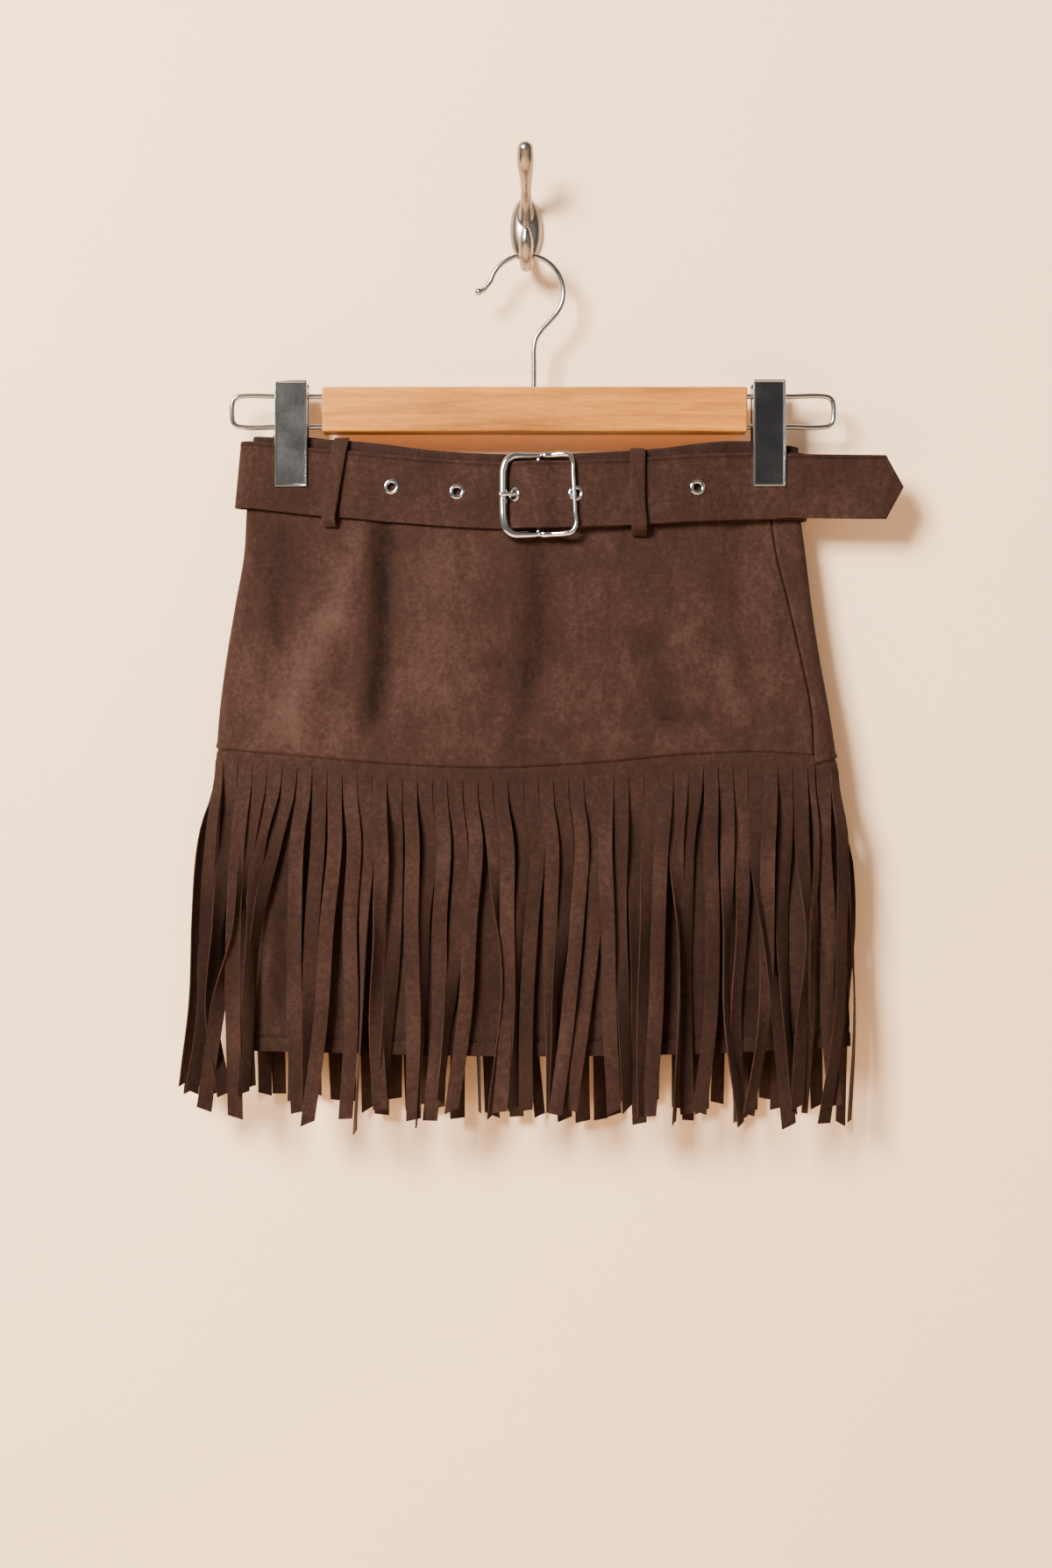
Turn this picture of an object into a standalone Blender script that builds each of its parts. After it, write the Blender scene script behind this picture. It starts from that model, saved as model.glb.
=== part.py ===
"""Fringed suede skirt with its belt, held by two clips on a hanger that hangs on a wall hook.

Metres, +Z up. The origin is the middle of the wall hook's flat back and the wall is the plane Y = 0.
The skirt hangs in front of it, towards -Y. Sizes below are in millimetres and become metres in finish().
"""

import math
from collections import namedtuple

import bmesh
import bpy
import numpy as np
from mathutils import Matrix, Vector

MM = 0.001
SEAM_GAP = 0.3

# Cloth walls
YOKE_WALL = 1.6
UNDERSKIRT_WALL = 1.4
STRAP_WALL = 1.6
LOOP_WALL = 1.4
STRAND_WALL = 1.2

# Hanger and wall hook
HANGER_Y = -20.0
WIRE_DIAMETER = 3.1
BAR_LEFT, BAR_RIGHT = -122.5, 133.0
BAR_TOP, BAR_BOTTOM = -100.1, -127.2
BAR_DEPTH = 15.0
SHAFT_X = 4.8
HOOK_RADIUS = 22.6
HOOK_CENTRE_Z = -42.1
LOOP_LEFT, LOOP_RIGHT = -177.2, 185.5
LOOP_TOP, LOOP_BOTTOM = -104.9, -123.3
CLIP_WIDTH, CLIP_HEIGHT, CLIP_PLATE = 19.4, 63.8, 1.2
CLIP_TOP = -96.4
LEFT_CLIP_X, RIGHT_CLIP_X = -141.2, 145.9
PINCH_HALF = 3.6

# Belt
STRAP_WIDTH = 40.0
STRAP_OFF = 1.7
SECOND_LAYER_OFF = 4.3
CENTRE_BAR_X, CENTRE_BAR_OFF, CENTRE_BAR_RADIUS = 6.8, 4.1, 1.4
BELT_Z = -160.0
TIP_X, TIP_SHOULDER_X = 226.5, 216.0
FREE_END_NARROWS = 0.8
SEWN_DOWN_OFF = 1.1
LOOP_SLACK = 0.8

# Fringe
STRIP_DROP = 6.0
SLIT = 0.55
SEAM_STRAND_SHARE = 0.45
SEAM_LEVEL = -324.0
LAYER_FIRST, LAYER_STEP = 2.4, 3.1
SETTLED_BY = 0.18
NARROWED_BY = 0.15
STRAND_STEPS = (0.08, 0.22, 0.42, 0.62, 0.82, 1.0)

# The skirt as flat rings: at a height z, where the left and right folds are, the middle of its depth,
# how far its front and back stand from the middle, the radius of its side folds, and where its right
# side seam is, which the front shows.
Ring = namedtuple("Ring", "z left right middle front back fold seam")
YOKE = (
    Ring(-124, -164.0, 164.5, -20.0, 9.5, 8.5, 5.0, 146.0),
    Ring(-172, -168.5, 165.0, -20.5, 13.0, 10.5, 5.5, 147.0),
    Ring(-200, -170.0, 168.5, -21.0, 14.5, 11.0, 6.0, 150.5),
    Ring(-230, -175.0, 172.0, -22.0, 15.5, 11.5, 6.5, 157.5),
    Ring(-264, -180.5, 177.0, -23.0, 16.0, 12.0, 7.5, 165.0),
    Ring(-292, -184.0, 182.0, -24.0, 16.5, 12.5, 8.5, 170.5),
    Ring(-332, -187.0, 188.0, -25.0, 17.0, 13.0, 9.0, 172.5),
)
UNDERSKIRT = (
    Ring(-316, -183.5, 183.5, -25.0, 14.7, 10.7, 7.0, 170.0),
    Ring(-345, -181.0, 184.5, -25.2, 15.2, 11.2, 7.5, 171.0),
    Ring(-380, -173.0, 188.0, -25.5, 16.0, 12.0, 7.5, 173.5),
    Ring(-430, -166.0, 191.5, -26.0, 16.5, 12.0, 7.5, 177.0),
    Ring(-470, -165.5, 194.0, -26.0, 16.5, 12.0, 7.5, 179.5),
    Ring(-505, -166.0, 195.0, -26.0, 16.5, 12.0, 7.5, 180.5),
)

# Soft folds in a panel: a line from its upper end to its lower end, how deep it goes in (out, if
# negative) and how wide it is.
Fold = namedtuple("Fold", "x_top z_top x_low z_low depth width")
FRONT_FOLDS = (
    Fold(-87, -206, -88, -280, 2.2, 10),
    Fold(6, -218, 0, -300, 1.6, 11),
    Fold(-122, -212, -128, -290, -1.6, 16),
    Fold(70, -285, 135, -215, 1.3, 11),
    Fold(92, -300, 150, -300, -1.2, 12),
    Fold(-151, -350, -148, -470, -2.0, 11),
    Fold(-40, -340, -36, -480, 1.5, 12),
    Fold(120, -360, 128, -490, 1.5, 13),
)
BACK_FOLDS = (
    Fold(-70, -208, -78, -290, 1.8, 11),
    Fold(28, -210, 24, -300, 1.6, 11),
    Fold(105, -208, 118, -285, 1.5, 11),
    Fold(-30, -345, -34, -480, 1.5, 12),
    Fold(90, -340, 96, -485, 1.6, 12),
)

# Edges that sag: height at each place across.
Edge = namedtuple("Edge", "x z")
FRONT_WAIST = (
    Edge(-165, -129.5), Edge(-130, -131), Edge(-86, -135), Edge(-55, -139), Edge(-21, -141),
    Edge(20, -141), Edge(70, -138.5), Edge(136, -132.5), Edge(165, -136),
)
BACK_WAIST = (
    Edge(-165, -127.5), Edge(-140, -128.5), Edge(-108, -131.5), Edge(-60, -138), Edge(-21, -142),
    Edge(20, -142), Edge(70, -139), Edge(136, -132.5), Edge(165, -136),
)
FRONT_SEAM = (
    Edge(-187, -318), Edge(-130, -323), Edge(-84, -327), Edge(-27, -329.5), Edge(36, -327),
    Edge(99, -321.5), Edge(142, -320), Edge(172, -323.2),
)
BACK_SEAM = (
    Edge(-187, -318), Edge(-90, -324), Edge(0, -327), Edge(100, -325), Edge(172, -327.4),
    Edge(188, -323.6),
)
HEM = (Edge(-166, -498.5), Edge(0, -500.5), Edge(100, -499), Edge(195, -495.5))
BELT_MIDDLE = (
    Edge(-174, -152), Edge(-125, -157.5), Edge(-76, -162.6), Edge(-21, -166.4), Edge(52, -164.8),
    Edge(136, -160), Edge(226, -160.8),
)
BACK_BELT_MIDDLE = (Edge(-174, -152), Edge(-110, -157), Edge(0, -165.5), Edge(100, -164.5), Edge(170, -160))

# A strand of the fringe: how far across it hangs at the three levels below and at its end, the height of
# its end, the layer it lies in (0 next to the skirt) and its turn about its own length halfway down and
# low down, in degrees. The front starts behind the left fold, the back in front of the right one.
STRAND_LEVELS = (-368.0, -420.0, -472.0)
Strand = namedtuple("Strand", "high middle low end end_z layer turn_half turn_low")
FRONT_STRANDS = (
    Strand(-186, -191, -195, -202, -524, 0, 20, 10),
    Strand(-193, -200, -202, -206, -519, -2, 0, 0),
    Strand(-188, -192, -193, -198.5, -522.5, 1, 30, 65),
    Strand(-179, -184, -187.5, -178.5, -523.5, 0, 55, 40),
    Strand(-170, -172.5, -174, -173, -536.5, 3, 20, 0),
    Strand(-163.5, -171, -183.5, -193, -533.5, 2, 70, 0),
    Strand(-157, -162, -165.5, -168, -522, 1, 55, 40),
    Strand(-148.5, -160, -165, -166.5, -520.5, 0, 50, 40),
    Strand(-136, -138, -137.5, -134, -533.5, 1, 0, 0),
    Strand(-124, -127.5, -128.5, -129, -530.5, 0, 0, 50),
    Strand(-113.5, -117.5, -120.5, -130, -540, 2, 0, 0),
    Strand(-102.5, -104, -103, -107.5, -537, 1, 0, 0),
    Strand(-95, -97, -97.5, -101, -545, 0, -60, -80),
    Strand(-86, -87, -88, -85.5, -531, 2, 45, 20),
    Strand(-77, -78.5, -81.5, -84.5, -531, 0, 0, 55),
    Strand(-67, -68, -67.5, -66.5, -537, 2, 0, 0),
    Strand(-57.5, -61.5, -60, -64, -541.5, 0, 40, 80),
    Strand(-48.5, -50.5, -51.5, -57.5, -538, 1, 0, 0),
    Strand(-39.5, -42, -45, -50, -526.5, 0, 0, 55),
    Strand(-30, -32.5, -35.5, -44.5, -532.5, 1, 0, 0),
    Strand(-20, -16.5, -14, -19.5, -534.5, 0, 80, 60),
    Strand(-11.5, -11.5, -11.5, -15.5, -532.5, 2, 0, 0),
    Strand(-2, -3.5, -5.5, -7.5, -531, 0, 35, 55),
    Strand(6, 3.5, 1, 0, -532, 1, 0, 0),
    Strand(15, 14, 14, 15, -531.5, 1, 0, 40),
    Strand(24, 22.5, 17.5, 14, -530.5, 0, 30, 70),
    Strand(33, 30.5, 25, 16.5, -533.5, 2, 0, 0),
    Strand(40.5, 40.5, 35, 26.5, -531.5, 1, 0, 0),
    Strand(47, 48, 48.5, 51.5, -532.5, 2, 0, 0),
    Strand(56.5, 56, 58, 59.5, -531, 1, 0, 40),
    Strand(65.5, 64.5, 66, 68, -540, 0, 30, 20),
    Strand(72.5, 71, 70, 69, -533.5, 1, 45, 40),
    Strand(81, 78, 76, 72, -535, 2, 0, 0),
    Strand(89.5, 90.5, 90.5, 88, -539, 1, 70, 80),
    Strand(96, 95, 94.5, 96.5, -534.5, 0, 30, 0),
    Strand(109, 111, 110, 102, -533, 2, 0, 0),
    Strand(119.5, 120, 119, 126.5, -539.5, 1, 50, 60),
    Strand(128, 128, 125.5, 127.5, -537.5, 0, 40, 30),
    Strand(137, 141.5, 149, 155, -541.5, 1, 60, 0),
    Strand(144.5, 143, 141, 132, -534.5, 2, 0, 40),
    Strand(155, 152.5, 154, 159, -533.5, 0, 30, 60),
    Strand(164, 166, 164, 161.5, -530.5, 2, 70, 30),
    Strand(172.5, 172, 171, 165.5, -534.5, 1, 60, 20),
)
BACK_STRANDS = (
    Strand(177, 180, 180, 185, -530.5, 0, 0, 0),
    Strand(188, 188.5, 187.5, 176.5, -540.5, 1, 0, 0),
    Strand(192.5, 196.5, 197, 193, -540.5, -2, 0, 0),
    Strand(190, 195, 192, 190, -545, 1, 30, 40),
    Strand(172, 174, 175, 176, -535, 1, 0, 20),
    Strand(162, 163, 163, 163, -531, 0, 0, 0),
    Strand(153, 154, 155, 153, -536, 1, 30, 0),
    Strand(144, 145, 146, 144, -530, 0, 0, 30),
    Strand(134, 136, 137, 136, -538, 1, 0, 0),
    Strand(125, 127, 129, 130, -543, 0, 20, 0),
    Strand(116, 117, 117, 116, -533, 1, 0, 40),
    Strand(107, 108, 108, 107, -538, 0, 0, 0),
    Strand(98, 99, 100, 99, -544, 1, 30, 30),
    Strand(89, 91, 93, 94, -536, 0, 0, 0),
    Strand(79, 79, 78, 77, -533, 1, 0, 0),
    Strand(69, 69, 70, 70, -538, 0, 40, 20),
    Strand(60, 61, 60, 59, -532, 1, 0, 0),
    Strand(51, 52, 53, 53, -540, 0, 0, 30),
    Strand(42, 43, 44, 45, -543, 1, 0, 0),
    Strand(33, 33, 34, 35, -544, 0, 20, 0),
    Strand(23, 23, 22, 23, -543, 1, 0, 0),
    Strand(14, 14, 15, 16, -534, 0, 0, 50),
    Strand(4, 3, 3, 8, -541, 1, 30, 40),
    Strand(-5, -6, -6, -5, -541, 0, 0, 0),
    Strand(-14, -14, -13, -13, -537, 1, 0, 20),
    Strand(-23, -23, -22, -21, -540, 0, 0, 0),
    Strand(-32, -31, -30, -29, -539, 1, 60, 80),
    Strand(-42, -42, -41, -41, -542, 0, 0, 0),
    Strand(-51, -52, -53, -53, -536, 1, 0, 0),
    Strand(-60, -61, -62, -61, -533, 0, 30, 0),
    Strand(-70, -70, -70, -69, -538, 1, 0, 20),
    Strand(-79, -79, -79, -79, -530, 0, 0, 0),
    Strand(-88, -88, -88, -87, -540, 1, 0, 0),
    Strand(-97, -98, -98, -97, -537, 0, 0, 30),
    Strand(-107, -108, -109, -108, -533, 1, 20, 0),
    Strand(-116, -117, -116, -115, -531, 0, 0, 0),
    Strand(-126, -127, -129, -128, -527, 1, 0, 0),
    Strand(-136, -138, -139, -141, -530, 0, 30, 20),
    Strand(-146, -148, -150, -150, -527, 1, 0, 0),
    Strand(-156, -158, -159, -159, -527, 0, 0, 30),
    Strand(-166, -168, -168, -166, -523, 1, 20, 0),
    Strand(-176, -180, -183, -188, -527, 0, 30, 30),
)
TURN_STATIONS = (0.0, 0.2, 0.5, 0.8, 1.0)
# How much of the way from its root's facing a strand comes round to the front, and how much of its turn
# about its own length this plain form takes.
FACING_SHARE = 0.5
STRAND_NARROWS = 0.91
TURN_SHARE = 0.2
WALL_CLEARANCE = 2.2
# A strand whose root is this far past a side fold still hangs in front.
FOLD_REACH = 0.03
STRIP_LENGTH = 381.0
# How far below its root a strand still hangs nearly plumb.
PLUMB_ROOT = 16.0


# ---------------------------------------------------------------- scene and materials


def clear_scene():
    for old in list(bpy.data.objects):
        bpy.data.objects.remove(old, do_unlink=True)


def new_collection(name, helper=False):
    collection = bpy.data.collections.new(name)
    bpy.context.scene.collection.children.link(collection)
    collection.hide_render = helper
    return collection


def new_material(name, colour, roughness, metallic=0.0):
    material = bpy.data.materials.new(name)
    material.use_nodes = True
    shader = material.node_tree.nodes["Principled BSDF"]
    shader.inputs["Base Color"].default_value = (*colour, 1.0)
    shader.inputs["Roughness"].default_value = roughness
    shader.inputs["Metallic"].default_value = metallic
    material.diffuse_color = (*colour, 1.0)
    return material


clear_scene()
PARTS = new_collection("fringed_suede_skirt")
HELPERS = new_collection("cutters", helper=True)
YOKE_SUEDE = new_material("yoke_suede", (0.105, 0.048, 0.031), 0.9)
UNDERSKIRT_SUEDE = new_material("underskirt_suede", (0.085, 0.038, 0.025), 0.9)
FRINGE_SUEDE = new_material("fringe_suede", (0.11, 0.05, 0.033), 0.9)
BELT_SUEDE = new_material("belt_suede", (0.10, 0.046, 0.030), 0.85)
MAPLE = new_material("pale_wood", (0.70, 0.40, 0.19), 0.45)
CHROME = new_material("bright_chrome", (0.75, 0.75, 0.76), 0.12, 1.0)
NICKEL = new_material("satin_nickel", (0.55, 0.49, 0.43), 0.35, 1.0)


def place(name, data, material, helper=False):
    thing = bpy.data.objects.new(name, data)
    data.materials.append(material)
    (HELPERS if helper else PARTS).objects.link(thing)
    if helper:
        thing.hide_render = True
        thing.display_type = "WIRE"
    return thing


def finish(name, bm, material, helper=False, smooth=True):
    """A named object from a mesh drawn in millimetres."""
    bmesh.ops.scale(bm, vec=(MM, MM, MM), verts=bm.verts)
    data = bpy.data.meshes.new(name)
    bm.to_mesh(data)
    bm.free()
    if smooth:
        data.shade_smooth()
        data.set_sharp_from_angle(angle=math.radians(40))
    return place(name, data, material, helper)


def cut(thing, tool, operation="DIFFERENCE"):
    step = thing.modifiers.new(f"{operation.lower()} {tool.name}", "BOOLEAN")
    step.operation = operation
    step.object = tool
    step.solver = "EXACT"


def give_wall(thing, thickness, offset):
    wall = thing.modifiers.new("wall", "SOLIDIFY")
    wall.thickness = thickness * MM
    wall.offset = offset


def wire(name, points, radius, material, radii=None, closed=False, helper=False, sides=2):
    """A round wire along points, made a mesh with its end caps welded."""
    data = bpy.data.curves.new(name, "CURVE")
    data.dimensions = "3D"
    data.bevel_depth = radius * MM
    data.bevel_resolution = sides
    data.use_fill_caps = True
    spline = data.splines.new("POLY")
    spline.points.add(len(points) - 1)
    spline.use_cyclic_u = closed
    for index, (dot, at) in enumerate(zip(spline.points, points)):
        dot.co = (*(Vector(at) * MM), 1.0)
        dot.radius = radii[index] if radii else 1.0
    guide = bpy.data.objects.new(name + "_guide", data)
    HELPERS.objects.link(guide)
    graph = bpy.context.evaluated_depsgraph_get()
    mesh = bpy.data.meshes.new_from_object(guide.evaluated_get(graph))
    bpy.data.objects.remove(guide)
    bm = bmesh.new()
    bm.from_mesh(mesh)
    bmesh.ops.remove_doubles(bm, verts=bm.verts, dist=1e-6)
    bmesh.ops.recalc_face_normals(bm, faces=bm.faces)
    bm.to_mesh(mesh)
    bm.free()
    mesh.name = name
    mesh.materials.clear()
    mesh.shade_smooth()
    return place(name, mesh, material, helper)


def box(name, low, high, material, helper=False, edge=0.0):
    bm = bmesh.new()
    bmesh.ops.create_cube(bm, size=1.0)
    size = [b - a for a, b in zip(low, high)]
    middle = [(a + b) / 2 for a, b in zip(low, high)]
    bmesh.ops.scale(bm, vec=size, verts=bm.verts)
    bmesh.ops.translate(bm, vec=middle, verts=bm.verts)
    thing = finish(name, bm, material, helper, smooth=False)
    if edge:
        rounding = thing.modifiers.new("edges", "BEVEL")
        rounding.width = edge * MM
        rounding.segments = 2
    return thing


def rod(name, start, end, radius, material, helper=False, sides=16):
    bm = bmesh.new()
    start, end = Vector(start), Vector(end)
    along = end - start
    turn = along.to_track_quat("Z", "Y").to_matrix().to_4x4()
    bmesh.ops.create_cone(
        bm, cap_ends=True, segments=sides, radius1=radius, radius2=radius, depth=along.length,
        matrix=Matrix.Translation((start + end) / 2) @ turn,
    )
    return finish(name, bm, material, helper)


# ---------------------------------------------------------------- smooth curves


def smooth(knots, values, at):
    """A smooth curve through values at rising knots, read at one place."""
    knots, values = np.asarray(knots, float), np.asarray(values, float)
    slopes = np.gradient(values, knots)
    at = min(max(at, knots[0]), knots[-1])
    i = min(int(np.searchsorted(knots, at, side="right")) - 1, len(knots) - 2)
    width = knots[i + 1] - knots[i]
    t = (at - knots[i]) / width
    first = (2 * t**3 - 3 * t**2 + 1) * values[i] + (t**3 - 2 * t**2 + t) * width * slopes[i]
    second = (3 * t**2 - 2 * t**3) * values[i + 1] + (t**3 - t**2) * width * slopes[i + 1]
    return float(first + second)


def ease(share):
    share = min(max(share, 0.0), 1.0)
    return share * share * (3 - 2 * share)


def mix(a, b, share):
    return a + (b - a) * share


def edge_height(edge, x):
    return smooth([e.x for e in edge], [e.z for e in edge], x)


def through(points, steps):
    """Points along a smooth path through the given ones."""
    lengths = [0.0]
    for a, b in zip(points, points[1:]):
        lengths.append(lengths[-1] + (Vector(b) - Vector(a)).length)
    path = []
    for step in range(steps + 1):
        at = lengths[-1] * step / steps
        path.append(tuple(smooth(lengths, [p[axis] for p in points], at) for axis in range(3)))
    return path


# ---------------------------------------------------------------- the skirt's form

# A turn of 1 goes from the middle of the front to a side fold, about this far.
TURN_LENGTH = 180.0
# How squarely a face falls away to its folds, and how near a fold line ends at a side or at the seam.
FACE_SQUARENESS = 2.4
FOLD_END_SQUARENESS = 6
FOLD_END_AT_SEAM = 28.0
# Beside a clip the cloth is flat this far, and comes back to its full depth over the next distances.
CLIP_FLAT, CLIP_SPREAD = 13.0, 15.0
CLIP_FLAT_DOWN_TO, CLIP_FADE_DROP = -178.0, 65.0


def ring_value(rings, column, z):
    return smooth([-r.z for r in rings], [getattr(r, column) for r in rings], -z)


def fold_relief(folds, x, z):
    """How far the cloth goes in at x, z for the soft folds of a panel."""
    depth = 0.0
    for fold in folds:
        run = Vector((fold.x_low - fold.x_top, fold.z_low - fold.z_top))
        to_point = Vector((x - fold.x_top, z - fold.z_top))
        along = to_point.dot(run) / run.length_squared
        off = (to_point - run * min(max(along, 0.0), 1.0)).length
        depth += fold.depth * math.exp(-((off / fold.width) ** 2))
    return depth


def clip_closeness(x, z):
    """One where a clip's jaws hold the cloth flat, falling to nothing around and below."""
    across = min(abs(x - LEFT_CLIP_X), abs(x - RIGHT_CLIP_X))
    near = math.exp(-((max(0.0, across - CLIP_FLAT) / CLIP_SPREAD) ** 2))
    return near * (1 - ease((CLIP_FLAT_DOWN_TO - z) / CLIP_FADE_DROP))


def half_depth(rings, x, z, front):
    left, right = ring_value(rings, "left", z), ring_value(rings, "right", z)
    fold = ring_value(rings, "fold", z)
    straight = (right - left) / 2 - fold
    share = min(1.0, abs(x - (left + right) / 2) / straight)
    half = mix(ring_value(rings, "front" if front else "back", z), fold, share**FACE_SQUARENESS)
    relief = fold_relief(FRONT_FOLDS if front else BACK_FOLDS, x, z)
    half -= relief * (1 - share**FOLD_END_SQUARENESS) * ease(abs(z - SEAM_LEVEL) / FOLD_END_AT_SEAM)
    return mix(half, PINCH_HALF, clip_closeness(x, z))


def skin_point(rings, turn, z):
    """A point of the skirt's outer face.

    turn is -1 at the left fold, 0 in front, 1 at the right fold and 2 behind.
    """
    turn = (turn + 1) % 4 - 1
    front = turn <= 1
    across = turn if front else 2 - turn
    left, right = ring_value(rings, "left", z), ring_value(rings, "right", z)
    fold = ring_value(rings, "fold", z)
    straight = (right - left) / 2 - fold
    flat_share = straight / (straight + fold * math.pi / 2)
    if abs(across) <= flat_share:
        reach, cap = across / flat_share * straight, 1.0
    else:
        angle = (abs(across) - flat_share) / (1 - flat_share) * math.pi / 2
        reach, cap = math.copysign(straight + fold * math.sin(angle), across), math.cos(angle)
    x = (left + right) / 2 + reach
    depth = half_depth(rings, x, z, front) * cap
    return Vector((x, ring_value(rings, "middle", z) + (-depth if front else depth), z))


def turn_at(rings, x, z):
    """The turn at which the front's outer face is at x."""
    left, right = ring_value(rings, "left", z), ring_value(rings, "right", z)
    fold = ring_value(rings, "fold", z)
    straight = (right - left) / 2 - fold
    flat_share = straight / (straight + fold * math.pi / 2)
    reach = x - (left + right) / 2
    if abs(reach) <= straight:
        return reach / straight * flat_share
    angle = math.asin(min(1.0, (abs(reach) - straight) / fold))
    return math.copysign(flat_share + (1 - flat_share) * angle / (math.pi / 2), reach)


def off_skin(rings, turn, z, out):
    """A point moved straight out of the skirt's outer face."""
    ahead = skin_point(rings, turn + 0.004, z) - skin_point(rings, turn - 0.004, z)
    outward = Vector((ahead.y, -ahead.x, 0.0)).normalized()
    return skin_point(rings, turn, z) + outward * out


LEFT_SEAM_TURN = -1.085


def right_seam_turn(rings, z):
    return turn_at(rings, ring_value(rings, "seam", z), z)


def panel_turn(rings, front, share, z):
    """The turn of a column of the front or back panel, share 0 to 1 from its first seam to its second."""
    seam = right_seam_turn(rings, z)
    gap = SEAM_GAP / TURN_LENGTH
    if front:
        return mix(LEFT_SEAM_TURN + gap / 2, seam - gap / 2, share)
    return mix(seam + gap / 2, LEFT_SEAM_TURN + 4 - gap / 2, share)


def across_height(edge, front, share):
    """An edge's height at a column of the front or back panel."""
    level = edge[len(edge) // 2].z
    return edge_height(edge, skin_point(YOKE, panel_turn(YOKE, front, share, level), level).x)


def column_shares(count, fold_share=0.045):
    """Column places that crowd where the panel bends round its side fold."""
    fine = np.linspace(0, 1, 2001)
    density = 1 + 4.0 * np.exp(-(((fine - fold_share) / 0.035) ** 2))
    total = np.concatenate([[0], np.cumsum((density[1:] + density[:-1]) / 2)])
    return np.interp(np.linspace(0, 1, count + 1) * total[-1], total, fine)


def hang_panel(name, rings, front, top_edge, low_edge, columns, levels, wall, material):
    """A panel of cloth: a grid whose points are moved to their places on the skirt, given its wall."""
    bm = bmesh.new()
    bmesh.ops.create_grid(bm, x_segments=columns, y_segments=levels, size=1.0)
    shares = column_shares(columns)
    for vert in bm.verts:
        share = shares[round((vert.co.x + 1) / 2 * columns)]
        top, low = (across_height(edge, front, share) for edge in (top_edge, low_edge))
        z = mix(top, low, (1 - vert.co.y) / 2)
        vert.co = skin_point(rings, panel_turn(rings, front, share, z), z)
    bm.normal_update()
    facing = sum(face.normal.y for face in bm.faces if abs(face.calc_center_median().x) < 60)
    if (facing > 0) == front:
        bmesh.ops.reverse_faces(bm, faces=bm.faces)
    thing = finish(name, bm, material)
    give_wall(thing, wall, -1.0)
    return thing


def lowered(edge, by):
    return tuple(Edge(e.x, e.z - by) for e in edge)


# ---------------------------------------------------------------- fringe


def extrude_to(bm, face, corners, places):
    """Pushes a face on to new places and returns it with its corners in the same order."""
    found = bmesh.ops.extrude_discrete_faces(bm, faces=[face])
    pushed = found["faces"][0]
    moved = []
    for corner in corners:
        moved.append(min(pushed.verts, key=lambda v: (v.co - corner.co).length_squared))
    for vert, at in zip(moved, places):
        vert.co = at
    return pushed, moved


def surface_depth(x, width, z, in_front):
    """The depth at which a strand this wide hangs clear of the underskirt and plumb from the yoke at x."""
    found = []
    for rings, level in ((UNDERSKIRT, z), (YOKE, YOKE[-1].z)):
        left, right = ring_value(rings, "left", level), ring_value(rings, "right", level)
        for place in (x - width / 2, x, x + width / 2):
            turn = turn_at(rings, min(max(place, left), right), level)
            found.append(skin_point(rings, turn if in_front else 2 - turn, level).y)
    return min(found) if in_front else max(found)


def strand_section(root, root_angle, width, strand, share, in_front):
    """The four corners of a strand, outer left, outer right, inner right, inner left, part way down it."""
    side = 1.0 if in_front else -1.0
    z = mix(root.z, strand.end_z, share)
    depths = [-level for level in (root.z, root.z - PLUMB_ROOT, *STRAND_LEVELS, strand.end_z)]
    near_root = mix(root.x, strand.high, 0.15)
    x = smooth(depths, (root.x, near_root, strand.high, strand.middle, strand.low, strand.end), -z)
    settle = ease(share / SETTLED_BY)
    turns = (0, 0, strand.turn_half, strand.turn_low, strand.turn_low)
    turn = math.radians(smooth(TURN_STATIONS, turns, share))
    faced = 0.0 if in_front else math.copysign(math.pi, root_angle)
    coming_round = FACING_SHARE * math.sqrt(abs(math.cos(root_angle)))
    facing = mix(root_angle, faced, settle * coming_round) + turn * TURN_SHARE
    out = LAYER_FIRST + LAYER_STEP * strand.layer + width / 2 * abs(math.sin(facing)) * 0.8
    y = mix(root.y, surface_depth(x, width, z, in_front) - side * out, settle)
    y = min(y, -WALL_CLEARANCE)
    width *= mix(1.0, STRAND_NARROWS, ease(share / NARROWED_BY))
    across = Vector((math.cos(facing), math.sin(facing), 0.0)) * width / 2
    outward = Vector((math.sin(facing), -math.cos(facing), 0.0)) * STRAND_WALL / 2
    middle = Vector((x, y, z))
    return (
        middle - across + outward,
        middle + across + outward,
        middle + across - outward,
        middle - across - outward,
    )


def strand_edges(count, front):
    """Where each strand's two edges are across the panel.

    The front's last one is cut narrow by the side seam.
    """
    shares = [1.0] * count
    if front:
        shares[-1] = SEAM_STRAND_SHARE
    ends = np.cumsum([0.0, *shares]) / sum(shares)
    slit = SLIT / STRIP_LENGTH
    return [(start + slit / 2, end - slit / 2) for start, end in zip(ends, ends[1:])]


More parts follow.
